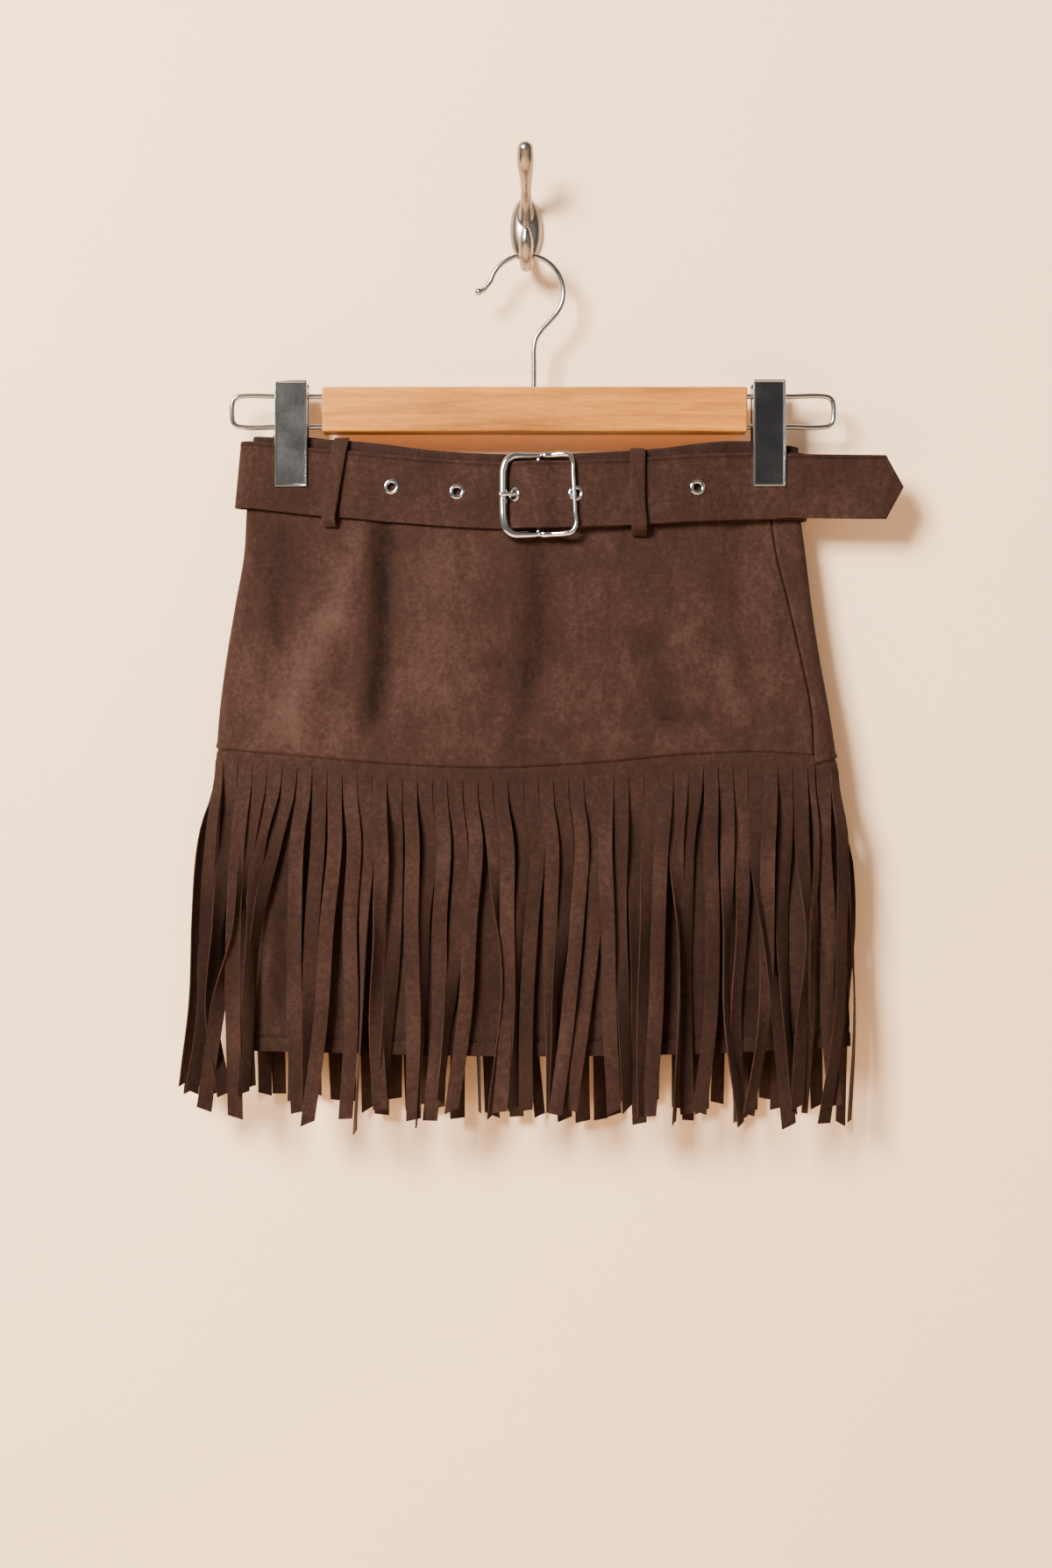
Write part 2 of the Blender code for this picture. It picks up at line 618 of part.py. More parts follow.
def hang_fringe(name, strands, front, seam_edge, material):
    """One band of cloth slit into strands: first the narrow strip under the seam, then each strand."""
    edges = strand_edges(len(strands), front)
    sections = []
    for share in (place for pair in edges for place in pair):
        turn = panel_turn(YOKE, front, share, SEAM_LEVEL)
        top = across_height(seam_edge, front, share) - SEAM_GAP * 1.5
        low = top - STRIP_DROP
        corners = ((top, 0.0), (low, 0.0), (low, -STRAND_WALL), (top, -STRAND_WALL))
        sections.append([off_skin(YOKE, turn, z, out) for z, out in corners])
    bm = bmesh.new()
    corners = [bm.verts.new(at) for at in sections[0]]
    face = bm.faces.new(corners)
    rows = [corners]
    for places in sections[1:]:
        face, corners = extrude_to(bm, face, corners, places)
        rows.append(corners)
    bm.faces.new(reversed(rows[0]))
    for index, strand in enumerate(strands):
        start, end = rows[2 * index], rows[2 * index + 1]
        corners = [start[1], end[1], end[2], start[2]]
        face = next(f for f in start[1].link_faces if set(f.verts) == set(corners))
        root = sum((v.co for v in corners), Vector()) / 4
        span = corners[1].co - corners[0].co
        angle = math.atan2(span.y, span.x)
        if not front and angle < 0:
            angle += 2 * math.pi
        root_turn = panel_turn(YOKE, front, sum(edges[index]) / 2, SEAM_LEVEL)
        in_front = abs(root_turn) < 1 + FOLD_REACH
        for share in STRAND_STEPS:
            places = strand_section(root, angle, span.length, strand, share, in_front)
            face, corners = extrude_to(bm, face, corners, places)
    bmesh.ops.recalc_face_normals(bm, faces=bm.faces)
    return finish(name, bm, material, smooth=False)


# ---------------------------------------------------------------- belt


def belt_middle(turn):
    """The height of the strap's middle line."""
    behind = 1 < (turn + 1) % 4 - 1
    return edge_height(BACK_BELT_MIDDLE if behind else BELT_MIDDLE, skin_point(YOKE, turn, BELT_Z).x)


def belt_point(turn, out, drop=0.5):
    """A point off the skirt under the belt. drop is 0 at the strap's top edge and 1 at its lower edge."""
    middle = belt_middle(turn)
    top = off_skin(YOKE, turn, middle + STRAP_WIDTH / 2, out)
    low = off_skin(YOKE, turn, middle - STRAP_WIDTH / 2, out)
    return top.lerp(low, drop)


def front_turn(x):
    return turn_at(YOKE, x, BELT_Z)


# The strap near the buckle, from its turned-under end, round the centre bar, and the free end's path over
# it: place across and how far its middle is off the skirt.
Station = namedtuple("Station", "x out")
FOLD_RADIUS = CENTRE_BAR_RADIUS + 0.3 + STRAP_WALL / 2
TURNED_UNDER = (Station(36, 1.4), Station(28, 1.4), Station(20, 1.4), Station(13, 1.4))
BUCKLE_RUN = (Station(13, 5.2), Station(20, 3.6), Station(28, 3.5), Station(36, 3.3), Station(44, 1.9))
FREE_RUN = (
    Station(-30, 1.7), Station(-20, 1.6), Station(-14, 1.5), Station(-10.5, 2.0), Station(-8.5, 3.6),
    Station(-6.2, 6.0), Station(-3.5, 8.0), Station(0.5, 8.9), Station(6.8, 9.0), Station(12, 8.3),
    Station(17, 6.6), Station(22, 5.7), Station(28, 5.5), Station(36, 5.4), Station(44, 4.9),
)
LEFT_FOLD_SLACK = 4.5
RIGHT_FOLD_SLACK = 1.0
FREE_FROM_X = 146.0


def strap_stations():
    """(turn, out) along the strap, from its end turned under at the buckle to its free end."""
    path = [(front_turn(s.x), s.out) for s in TURNED_UNDER]
    for step in range(7):
        angle = math.radians(-90 - 30 * step)
        x = CENTRE_BAR_X + FOLD_RADIUS * math.cos(angle)
        path.append((front_turn(x), CENTRE_BAR_OFF + FOLD_RADIUS * math.sin(angle)))
    path += [(front_turn(s.x), s.out) for s in BUCKLE_RUN]
    start, end = front_turn(52.0), front_turn(-38.0) + 4
    shares = round_the_skirt(start, end)
    for turn in shares:
        slack = LEFT_FOLD_SLACK * math.exp(-(((turn - 3.0) / 0.03) ** 2))
        slack += RIGHT_FOLD_SLACK * math.exp(-(((turn - 1.0) / 0.03) ** 2))
        path.append((turn, STRAP_OFF + slack))
    path += [(front_turn(s.x) + 4, s.out) for s in FREE_RUN]
    for x in np.linspace(54.0, FREE_FROM_X, 8):
        path.append((front_turn(x) + 4, SECOND_LAYER_OFF))
    return path


def round_the_skirt(start, end):
    """Turns from start to end, close together at the two side folds."""
    fine = np.linspace(start, end, 4001)
    density = np.ones_like(fine)
    for fold in (1, 3):
        density += 7 * np.exp(-(((fine - fold) / 0.04) ** 2))
    total = np.concatenate([[0], np.cumsum((density[1:] + density[:-1]) / 2)])
    return np.interp(np.linspace(0, 1, 42) * total[-1], total, fine)


def make_strap():
    """The strap as a ribbon pushed along its path, edge by edge, then given its wall."""
    rows = []
    for turn, out in strap_stations():
        rows.append(tuple(belt_point(turn, out, drop) for drop in (0.0, 0.5, 1.0)))
    last = rows[-1]
    level = edge_height(BELT_MIDDLE, TIP_X)
    for x in (165.0, 185.0, 203.0, TIP_SHOULDER_X):
        middle = mix(last[1].z, level, (x - FREE_FROM_X) / (TIP_X - FREE_FROM_X))
        half = STRAP_WIDTH / 2 - FREE_END_NARROWS
        heights = (middle + half, middle, middle - half)
        rows.append(tuple(Vector((x, p.y, z)) for p, z in zip(last, heights)))
    tip = rows[-1]
    rows[-1] = (tip[0], Vector((TIP_X, tip[1].y, tip[1].z)), tip[2])
    bm = bmesh.new()
    previous = [bm.verts.new(at) for at in rows[0]]
    for places in rows[1:]:
        current = [bm.verts.new(at) for at in places]
        for i in range(2):
            bm.faces.new((previous[i], current[i], current[i + 1], previous[i + 1]))
        previous = current
    strap = finish("belt_strap", bm, BELT_SUEDE)
    give_wall(strap, STRAP_WALL, 0.0)
    return strap


def strap_frame(x, drop=0.5):
    """The place and axes of the free end's run at x: along, up and out of the strap."""
    before = Station(-150, STRAP_OFF)
    after = (Station(54, SECOND_LAYER_OFF), Station(140, SECOND_LAYER_OFF))
    run = (before, *FREE_RUN, *after)

    def middle_at(place, down):
        off = float(np.interp(place, [s.x for s in run], [s.out for s in run]))
        return belt_point(front_turn(place), off, down)

    at = middle_at(x, drop)
    along = middle_at(x + 1.2, drop) - middle_at(x - 1.2, drop)
    up = middle_at(x, drop - 0.1) - middle_at(x, drop + 0.1)
    along.normalize()
    out = up.cross(along).normalized()
    out = out if out.y < 0 else -out
    up = out.cross(along).normalized()
    return at, along, up, out


def framed(x, drop=0.5):
    at, along, up, out = strap_frame(x, drop)
    turn = Matrix((along, up, out)).transposed().to_4x4()
    return Matrix.Translation(at) @ turn


EYELETS = (
    ("left_outer", -80.4, 0.475), ("left_inner", -41.3, 0.475), ("prong", -6.4, 0.5),
    ("right_bar", 29.6, 0.5), ("under_loop", 66.0, 0.5), ("right_outer", 102.2, 0.5),
)
EYELET_HOLE, EYELET_TUBE, EYELET_LIP, EYELET_RIM = 2.35, 2.75, 3.6, 4.5
LIP_RISE, HOLE_RISE = 0.85, 0.55
CLOTH_HOLE = 3.1


def make_eyelets(strap):
    face = STRAP_WALL / 2
    under = face + SEAM_GAP
    profile = (
        (EYELET_HOLE, -face), (EYELET_TUBE, -face), (EYELET_TUBE, under), (EYELET_RIM, under),
        (EYELET_LIP, face + LIP_RISE), (EYELET_HOLE, face + HOLE_RISE),
    )
    for name, x, drop in EYELETS:
        bm = bmesh.new()
        ring = [bm.verts.new((r, 0.0, z)) for r, z in profile]
        loop = [bm.edges.new((a, b)) for a, b in zip(ring, ring[1:] + ring[:1])]
        bmesh.ops.spin(
            bm, geom=ring + loop, cent=(0, 0, 0), axis=(0, 0, 1), angle=math.tau, steps=14, use_merge=True,
        )
        bmesh.ops.remove_doubles(bm, verts=bm.verts, dist=1e-4)
        bmesh.ops.recalc_face_normals(bm, faces=bm.faces)
        bmesh.ops.transform(bm, matrix=framed(x, drop), verts=bm.verts)
        finish(f"eyelet_{name}", bm, CHROME)
        hole = bmesh.new()
        bmesh.ops.create_cone(
            hole, cap_ends=True, segments=12, radius1=CLOTH_HOLE, radius2=CLOTH_HOLE,
            depth=STRAP_WALL * 2, matrix=framed(x, drop),
        )
        cut(strap, finish(f"hole_{name}", hole, CHROME, helper=True))


def buckle_place(x, out, drop):
    return belt_point(front_turn(x), out, drop)


# The buckle's bent bar and its prong: place across, how far off the skirt, how far down the belt (0 at its
# top edge, 1 at its lower one) and the bar's radius there.
Bend = namedtuple("Bend", "x out drop radius")
BUCKLE_LEFT, BUCKLE_RIGHT = -14.1, 27.9
BUCKLE_TOP, BUCKLE_LOW = -0.085, 1.095
BUCKLE_BENDS = (
    Bend(CENTRE_BAR_X, 4.4, BUCKLE_TOP, 1.9), Bend(-4.0, 4.8, BUCKLE_TOP, 2.2),
    Bend(-10.0, 5.0, BUCKLE_TOP, 2.4), Bend(-13.0, 5.1, 0.0, 2.4), Bend(BUCKLE_LEFT, 5.2, 0.14, 2.5),
    Bend(BUCKLE_LEFT, 5.2, 0.5, 2.5), Bend(BUCKLE_LEFT, 5.2, 0.86, 2.5), Bend(-13.0, 5.1, 1.0, 2.4),
    Bend(-10.0, 5.0, BUCKLE_LOW, 2.4), Bend(-3.0, 4.8, BUCKLE_LOW, 2.3),
    Bend(CENTRE_BAR_X, 4.4, BUCKLE_LOW, 1.9), Bend(15.0, 5.4, BUCKLE_LOW, 1.9),
    Bend(23.0, 7.4, BUCKLE_LOW, 1.8), Bend(27.4, 8.4, BUCKLE_LOW - 0.02, 1.5),
    Bend(BUCKLE_RIGHT + 1.0, 8.7, BUCKLE_LOW - 0.1, 1.35), Bend(BUCKLE_RIGHT, 8.8, 0.5, 1.35),
    Bend(BUCKLE_RIGHT - 0.6, 8.7, 0.05, 1.35), Bend(BUCKLE_RIGHT - 1.2, 8.4, BUCKLE_TOP + 0.03, 1.5),
    Bend(23.0, 7.4, BUCKLE_TOP, 1.8), Bend(15.0, 5.4, BUCKLE_TOP, 1.9),
)
PRONG_BENDS = (
    Bend(4.6, 4.2, 0.5, 1.1), Bend(2.0, 4.5, 0.5, 1.1), Bend(-2.5, 4.9, 0.5, 1.1),
    Bend(-6.4, 6.2, 0.5, 1.1), Bend(-9.0, 8.2, 0.5, 1.15), Bend(-12.0, 9.3, 0.5, 1.3),
    Bend(-16.2, 9.3, 0.5, 1.3),
)
PRONG_EYE_INNER, PRONG_EYE_OUTER, PRONG_EYE_HALF = 1.7, 2.9, 1.3
SLOT_HALF_LENGTH, SLOT_HALF_HEIGHT = 5.0, 3.2


def make_buckle(strap):
    """Frame, centre bar and prong of the buckle, drawn over the strap's own places."""
    points = [buckle_place(b.x, b.out, b.drop) for b in BUCKLE_BENDS]
    radii = [b.radius for b in BUCKLE_BENDS]
    frame = wire("buckle_frame", points, 1.0, CHROME, radii, closed=True)
    bar_top = buckle_place(CENTRE_BAR_X, CENTRE_BAR_OFF, BUCKLE_TOP)
    bar_low = buckle_place(CENTRE_BAR_X, CENTRE_BAR_OFF, BUCKLE_LOW)
    bar = rod("centre_bar", bar_top, bar_low, CENTRE_BAR_RADIUS, CHROME, helper=True, sides=12)
    cut(frame, bar, "UNION")

    ring = bmesh.new()
    band = (
        (PRONG_EYE_INNER, -PRONG_EYE_HALF), (PRONG_EYE_OUTER, -PRONG_EYE_HALF),
        (PRONG_EYE_OUTER, PRONG_EYE_HALF), (PRONG_EYE_INNER, PRONG_EYE_HALF),
    )
    verts = [ring.verts.new((r, 0.0, z)) for r, z in band]
    loop = [ring.edges.new((a, b)) for a, b in zip(verts, verts[1:] + verts[:1])]
    bmesh.ops.spin(
        ring, geom=verts + loop, cent=(0, 0, 0), axis=(0, 0, 1), angle=math.tau, steps=14, use_merge=True,
    )
    bmesh.ops.remove_doubles(ring, verts=ring.verts, dist=1e-4)
    bmesh.ops.recalc_face_normals(ring, faces=ring.faces)
    axis = (bar_low - bar_top).to_track_quat("Z", "Y").to_matrix().to_4x4()
    centre = buckle_place(CENTRE_BAR_X, CENTRE_BAR_OFF, 0.5)
    bmesh.ops.transform(ring, matrix=Matrix.Translation(centre) @ axis, verts=ring.verts)
    eye = finish("prong_eye", ring, CHROME, helper=True)
    points = [buckle_place(b.x, b.out, b.drop) for b in PRONG_BENDS]
    prong = wire("buckle_prong", points, 1.0, CHROME, [b.radius for b in PRONG_BENDS])
    cut(prong, eye, "UNION")

    # The slot starts just off the skirt and reaches out past both layers round the bar.
    inner = buckle_place(CENTRE_BAR_X - SLOT_HALF_LENGTH, SEAM_GAP, 0.5)
    outer_y = inner.y - (CENTRE_BAR_OFF + FOLD_RADIUS + STRAP_WALL / 2 + 0.1)
    slot = box(
        "prong_slot", (inner.x - 1.0, outer_y, inner.z - SLOT_HALF_HEIGHT),
        (CENTRE_BAR_X + SLOT_HALF_LENGTH, inner.y + 0.2, inner.z + SLOT_HALF_HEIGHT), CHROME, helper=True,
    )
    cut(strap, slot)


def make_belt_loop(name, turn, width, layers_off, top_z, low_z, lean=0.0):
    """A short strip of cloth sewn above and below the belt, standing just clear of it."""
    middle = belt_middle(turn)
    rise = layers_off + LOOP_WALL / 2
    belt_top, belt_low = middle + STRAP_WIDTH / 2, middle - STRAP_WIDTH / 2
    shoulder = mix(rise, 2.0, 0.2)
    course = (
        (top_z, SEWN_DOWN_OFF), (mix(top_z, belt_top, 0.6), shoulder), (belt_top + 0.5, rise),
        (middle, rise + LOOP_SLACK), (belt_low - 0.5, rise),
        (mix(low_z, belt_low, 0.6), shoulder), (low_z, SEWN_DOWN_OFF),
    )
    bm = bmesh.new()
    previous = None
    half = width / 2 / TURN_LENGTH
    for z, out in course:
        slide = lean / TURN_LENGTH * (top_z - z) / (top_z - low_z)
        pair = [bm.verts.new(off_skin(YOKE, turn + slide + side * half, z, out)) for side in (-1, 1)]
        if previous:
            bm.faces.new((previous[0], pair[0], pair[1], previous[1]))
        previous = pair
    thing = finish(name, bm, BELT_SUEDE)
    give_wall(thing, LOOP_WALL, 0.0)
    rounding = thing.modifiers.new("edges", "BEVEL")
    rounding.width = 0.3 * MM
    rounding.limit_method = "ANGLE"
    return thing


# ---------------------------------------------------------------- hanger and wall hook


# The wall hook's arms: places along each one's middle, and its radius at twelve even steps.
PLATE_HALF_SIZE = (10.0, 7.5, 20.8)
UPPER_ARM = ((0, -5, 5), (0, -9, 14), (0, -17, 21), (0, -27, 27), (-0.4, -36, 36), (-0.4, -38.5, 40))
UPPER_RADII = (4.2, 3.8, 3.4, 3.1, 3.0, 3.0, 3.2, 3.8, 4.5, 5.1, 4.9, 2.8)
LOWER_ARM = (
    (0, -3.4, -10.5), (0, -9, -21), (0, -19, -25.4), (0, -29, -22.5), (0, -34.6, -14), (0, -35.8, -8.2),
)
LOWER_RADII = (3.2, 3.4, 3.7, 3.9, 4.1, 4.1, 4.1, 4.1, 4.1, 4.0, 3.6, 2.0)


def make_wall_hook():
    """An oval back plate, half an egg cut flat at the wall, with an upper and a lower arm."""
    bm = bmesh.new()
    bmesh.ops.create_uvsphere(bm, u_segments=20, v_segments=10, radius=1.0)
    bmesh.ops.rotate(bm, cent=(0, 0, 0), matrix=Matrix.Rotation(math.pi / 2, 3, "X"), verts=bm.verts)
    bmesh.ops.scale(bm, vec=PLATE_HALF_SIZE, verts=bm.verts)
    cutting = bmesh.ops.bisect_plane(
        bm, geom=bm.verts[:] + bm.edges[:] + bm.faces[:], plane_co=(0, 0, 0), plane_no=(0, 1, 0),
        clear_outer=True,
    )
    rim = [e for e in cutting["geom_cut"] if isinstance(e, bmesh.types.BMEdge)]
    bmesh.ops.contextual_create(bm, geom=rim)
    bmesh.ops.recalc_face_normals(bm, faces=bm.faces)
    hook = finish("wall_hook", bm, NICKEL)
    arms = (("upper_arm", UPPER_ARM, UPPER_RADII), ("lower_arm", LOWER_ARM, LOWER_RADII))
    for name, places, radii in arms:
        path = through(places, len(radii) - 1)
        cut(hook, wire(name, path, 1.0, NICKEL, radii, helper=True), "UNION")


# The hanger hook's wire: the places across and up of its tip and tail, then of its lower bend and shaft.
# Between them it runs round an arc from one angle down to the other.
HOOK_TIP = (-28.6, -41.7)
HOOK_TIP_RADIUS = 2.2
HOOK_TAIL = ((-28.2, -41.5), (-24.2, -39.2))
HOOK_ARC_START, HOOK_ARC_SWEEP = 160, 180
HOOK_BEND = ((18.6, -54.4), (13.8, -60.0), (9.0, -65.2), (5.6, -70.6))
SHAFT_IN_BAR = 12.0


def make_hanger_hook():
    places = list(HOOK_TAIL)
    for step in range(13):
        angle = math.radians(HOOK_ARC_START - HOOK_ARC_SWEEP * step / 12)
        places.append((HOOK_RADIUS * math.cos(angle), HOOK_CENTRE_Z + HOOK_RADIUS * math.sin(angle)))
    places += [*HOOK_BEND, (SHAFT_X, -76.0), (SHAFT_X, -92.0), (SHAFT_X, BAR_TOP - SHAFT_IN_BAR)]
    points = [(x, HANGER_Y, z) for x, z in places]
    hook = wire("hanger_hook", points, WIRE_DIAMETER / 2, CHROME)
    tip = bmesh.new()
    bmesh.ops.create_uvsphere(tip, u_segments=12, v_segments=8, radius=HOOK_TIP_RADIUS)
    bmesh.ops.translate(tip, vec=(HOOK_TIP[0], HANGER_Y, HOOK_TIP[1]), verts=tip.verts)
    cut(hook, finish("hook_tip", tip, CHROME, helper=True), "UNION")


LOOP_CORNER = 5.0
WIRE_IN_BAR = 9.0


def rounded_loop(side_x, bar_x):
    """The wire's path from inside the bar, out along the top, round two corners and back."""
    inward = 1 if bar_x > side_x else -1
    path = [(bar_x + inward * WIRE_IN_BAR, HANGER_Y, LOOP_TOP)]
    for middle_z, start in ((LOOP_TOP - LOOP_CORNER, 90), (LOOP_BOTTOM + LOOP_CORNER, 180)):
        for step in range(5):
            angle = math.radians(start + 90 * step / 4)
            path.append((
                side_x + inward * LOOP_CORNER * (1 + math.cos(angle)),
                HANGER_Y,
                middle_z + LOOP_CORNER * math.sin(angle),
            ))
    path.append((bar_x + inward * WIRE_IN_BAR, HANGER_Y, LOOP_BOTTOM))
    return path


def make_hanger_bar():
    low = (BAR_LEFT, HANGER_Y - BAR_DEPTH / 2, BAR_BOTTOM)
    high = (BAR_RIGHT, HANGER_Y + BAR_DEPTH / 2, BAR_TOP)
    bar = box("hanger_bar", low, high, MAPLE, edge=1.4)
    hole = WIRE_DIAMETER / 2 + SEAM_GAP
    over, under = (SHAFT_X, HANGER_Y, BAR_TOP + 5), (SHAFT_X, HANGER_Y, BAR_TOP - SHAFT_IN_BAR - 0.4)
    cut(bar, rod("shaft_hole", over, under, hole, MAPLE, helper=True))
    for name, x, inward in (("left", BAR_LEFT, 1), ("right", BAR_RIGHT, -1)):
        side_x = LOOP_LEFT if inward > 0 else LOOP_RIGHT
        wire(f"hanger_loop_{name}", rounded_loop(side_x, x), WIRE_DIAMETER / 2, CHROME)
        for level, z in (("top", LOOP_TOP), ("low", LOOP_BOTTOM)):
            start, end = (x - inward * 5, HANGER_Y, z), (x + inward * (WIRE_IN_BAR + 0.4), HANGER_Y, z)
            cut(bar, rod(f"hole_{name}_{level}", start, end, hole, MAPLE, helper=True))


CLIP_RIM, CLIP_RIM_SLOPE, CLIP_FACE_SUNK = 1.1, 0.3, 0.5
EAR_THICK, EAR_PAST_PIN = 1.0, 2.6
FRONT_EAR_OUT, BACK_EAR_OUT = 8.7, 7.2
PIN_RADIUS, PIN_HOLE_RADIUS, PIN_HALF = 1.2, 1.5, 9.5
BARREL_RADIUS, BARREL_HALF = 2.9, 6.2


def make_clip(name, x, front_face, back_face):
    """A sprung clip: two plates with rims, ears between the loop's wires, and the barrel they turn on."""
    half = CLIP_WIDTH / 2
    barrel_z = (LOOP_TOP + LOOP_BOTTOM) / 2
    ear_half = (LOOP_TOP - LOOP_BOTTOM - WIRE_DIAMETER) / 2 - SEAM_GAP
    sides = (("front", front_face, -1, FRONT_EAR_OUT), ("back", back_face, 1, BACK_EAR_OUT))
    for side, face, outward, ear_x in sides:
        bm = bmesh.new()
        bmesh.ops.create_cube(bm, size=1.0)
        bmesh.ops.scale(bm, vec=(CLIP_WIDTH, CLIP_PLATE, CLIP_HEIGHT), verts=bm.verts)
        middle = face + outward * CLIP_PLATE / 2
        bmesh.ops.translate(bm, vec=(x, middle, CLIP_TOP - CLIP_HEIGHT / 2), verts=bm.verts)
        bm.normal_update()
        shown = [f for f in bm.faces if f.normal.y * outward > 0.9]
        bmesh.ops.inset_region(bm, faces=shown, thickness=CLIP_RIM, depth=0.0, use_even_offset=True)
        bmesh.ops.inset_region(
            bm, faces=shown, thickness=CLIP_RIM_SLOPE, depth=-CLIP_FACE_SUNK, use_even_offset=True,
        )
        plate = finish(f"clip_{name}_{side}", bm, CHROME, smooth=False)
        reach = (face + outward * 0.5, HANGER_Y - outward * EAR_PAST_PIN)
        for mark, ear_side in (("a", -1), ("b", 1)):
            ear_middle = x + ear_side * ear_x
            ear = box(
                f"ear_{name}_{side}_{mark}",
                (ear_middle - EAR_THICK / 2, min(reach), barrel_z - ear_half),
                (ear_middle + EAR_THICK / 2, max(reach), barrel_z + ear_half),
                CHROME, helper=True,
            )
            cut(plate, ear, "UNION")
        start, end = (x - half - 1, HANGER_Y, barrel_z), (x + half + 1, HANGER_Y, barrel_z)
        pin_hole = rod(f"pin_hole_{name}_{side}", start, end, PIN_HOLE_RADIUS, CHROME, helper=True, sides=12)
        cut(plate, pin_hole)
    start, end = (x - BARREL_HALF, HANGER_Y, barrel_z), (x + BARREL_HALF, HANGER_Y, barrel_z)
    barrel = rod(f"clip_{name}_spring", start, end, BARREL_RADIUS, CHROME)
    start, end = (x - PIN_HALF, HANGER_Y, barrel_z), (x + PIN_HALF, HANGER_Y, barrel_z)
    cut(barrel, rod(f"pin_{name}", start, end, PIN_RADIUS, CHROME, helper=True, sides=12), "UNION")


# ---------------------------------------------------------------- build

COLUMNS, YOKE_LEVELS, UNDERSKIRT_LEVELS = 32, 8, 5
for face_name, in_front, waist, seam in (
    ("front", True, FRONT_WAIST, FRONT_SEAM),
    ("back", False, BACK_WAIST, BACK_SEAM),
):
    hang_panel(
        f"skirt_{face_name}_yoke", YOKE, in_front, waist, seam, COLUMNS, YOKE_LEVELS,
        YOKE_WALL, YOKE_SUEDE,
    )
    hang_panel(
        f"underskirt_{face_name}", UNDERSKIRT, in_front, lowered(seam, 2 * SEAM_GAP), HEM, COLUMNS,
        UNDERSKIRT_LEVELS, UNDERSKIRT_WALL, UNDERSKIRT_SUEDE,
    )
hang_fringe("fringe_front", FRONT_STRANDS, True, FRONT_SEAM, FRINGE_SUEDE)
hang_fringe("fringe_back", BACK_STRANDS, False, BACK_SEAM, FRINGE_SUEDE)

belt_strap = make_strap()
make_eyelets(belt_strap)
make_buckle(belt_strap)
make_belt_loop("belt_loop_front_left", front_turn(-112.5), 9.2, 3.6, -133.5, -183.0, lean=-3.0)
make_belt_loop("belt_loop_front_right", front_turn(66.0), 9.6, 5.4, -139.5, -190.0)
make_belt_loop("belt_loop_back_left", 2 - front_turn(-75.0), 9.4, 3.2, -136.5, -186.0)
make_belt_loop("belt_loop_back_right", 2 - front_turn(85.0), 9.4, 3.2, -139.0, -190.5)

make_wall_hook()
make_hanger_hook()
make_hanger_bar()
STACK = PINCH_HALF + STRAP_OFF + STRAP_WALL / 2 + SEAM_GAP + 0.3
make_clip("left", LEFT_CLIP_X, HANGER_Y - STACK, HANGER_Y + STACK)
make_clip("right", RIGHT_CLIP_X, HANGER_Y - STACK - SECOND_LAYER_OFF + STRAP_OFF, HANGER_Y + STACK)
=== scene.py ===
# %% [markdown]
# # A fringed suede skirt on a clip hanger
# This lesson dresses a plain model of a skirt in its real looks: napped suede, stitching, plated
# metal and pale wood. The plain model comes in as a fixed frame, and every new piece is drawn in the
# same place and to the same sizes. All sizes below are millimetres until a piece is finished.

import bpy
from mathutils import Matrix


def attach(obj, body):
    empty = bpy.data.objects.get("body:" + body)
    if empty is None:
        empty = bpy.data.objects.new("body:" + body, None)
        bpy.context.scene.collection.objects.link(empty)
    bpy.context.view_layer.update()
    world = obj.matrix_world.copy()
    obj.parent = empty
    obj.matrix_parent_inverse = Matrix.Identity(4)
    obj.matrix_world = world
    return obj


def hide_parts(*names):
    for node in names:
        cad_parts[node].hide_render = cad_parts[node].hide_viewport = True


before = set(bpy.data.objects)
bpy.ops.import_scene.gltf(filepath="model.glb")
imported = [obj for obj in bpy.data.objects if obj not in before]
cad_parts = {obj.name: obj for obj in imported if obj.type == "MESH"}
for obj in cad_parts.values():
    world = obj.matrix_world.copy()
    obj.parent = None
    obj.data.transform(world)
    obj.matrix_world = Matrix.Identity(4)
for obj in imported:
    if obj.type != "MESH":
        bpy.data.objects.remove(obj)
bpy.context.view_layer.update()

# %% Libraries and units
import math
from collections import namedtuple

import bmesh
import bpy
import numpy as np
from mathutils import Matrix, Vector

MM = 0.001
print("one unit here is", MM, "metres")

# %% [markdown]
# ## Materials as short sums
# A finish such as suede is a sum of a few noises. Wiring each Math node by hand hides that sum, so a
# small class wraps a socket and lets plain + - * build the nodes. Any other node comes from one
# method that takes its type, its settings and the values or links of its sockets.


# %% A socket that can be added and multiplied
class Dial:
    """A node's output that Python's operators can work on."""

    def __init__(self, finish, socket):
        self.finish = finish
        self.socket = socket

    def __add__(self, other):
        return self.finish.maths("ADD", self, other)

    def __sub__(self, other):
        return self.finish.maths("SUBTRACT", self, other)

    def __mul__(self, other):
        return self.finish.maths("MULTIPLY", self, other)

    __radd__ = __add__
    __rmul__ = __mul__


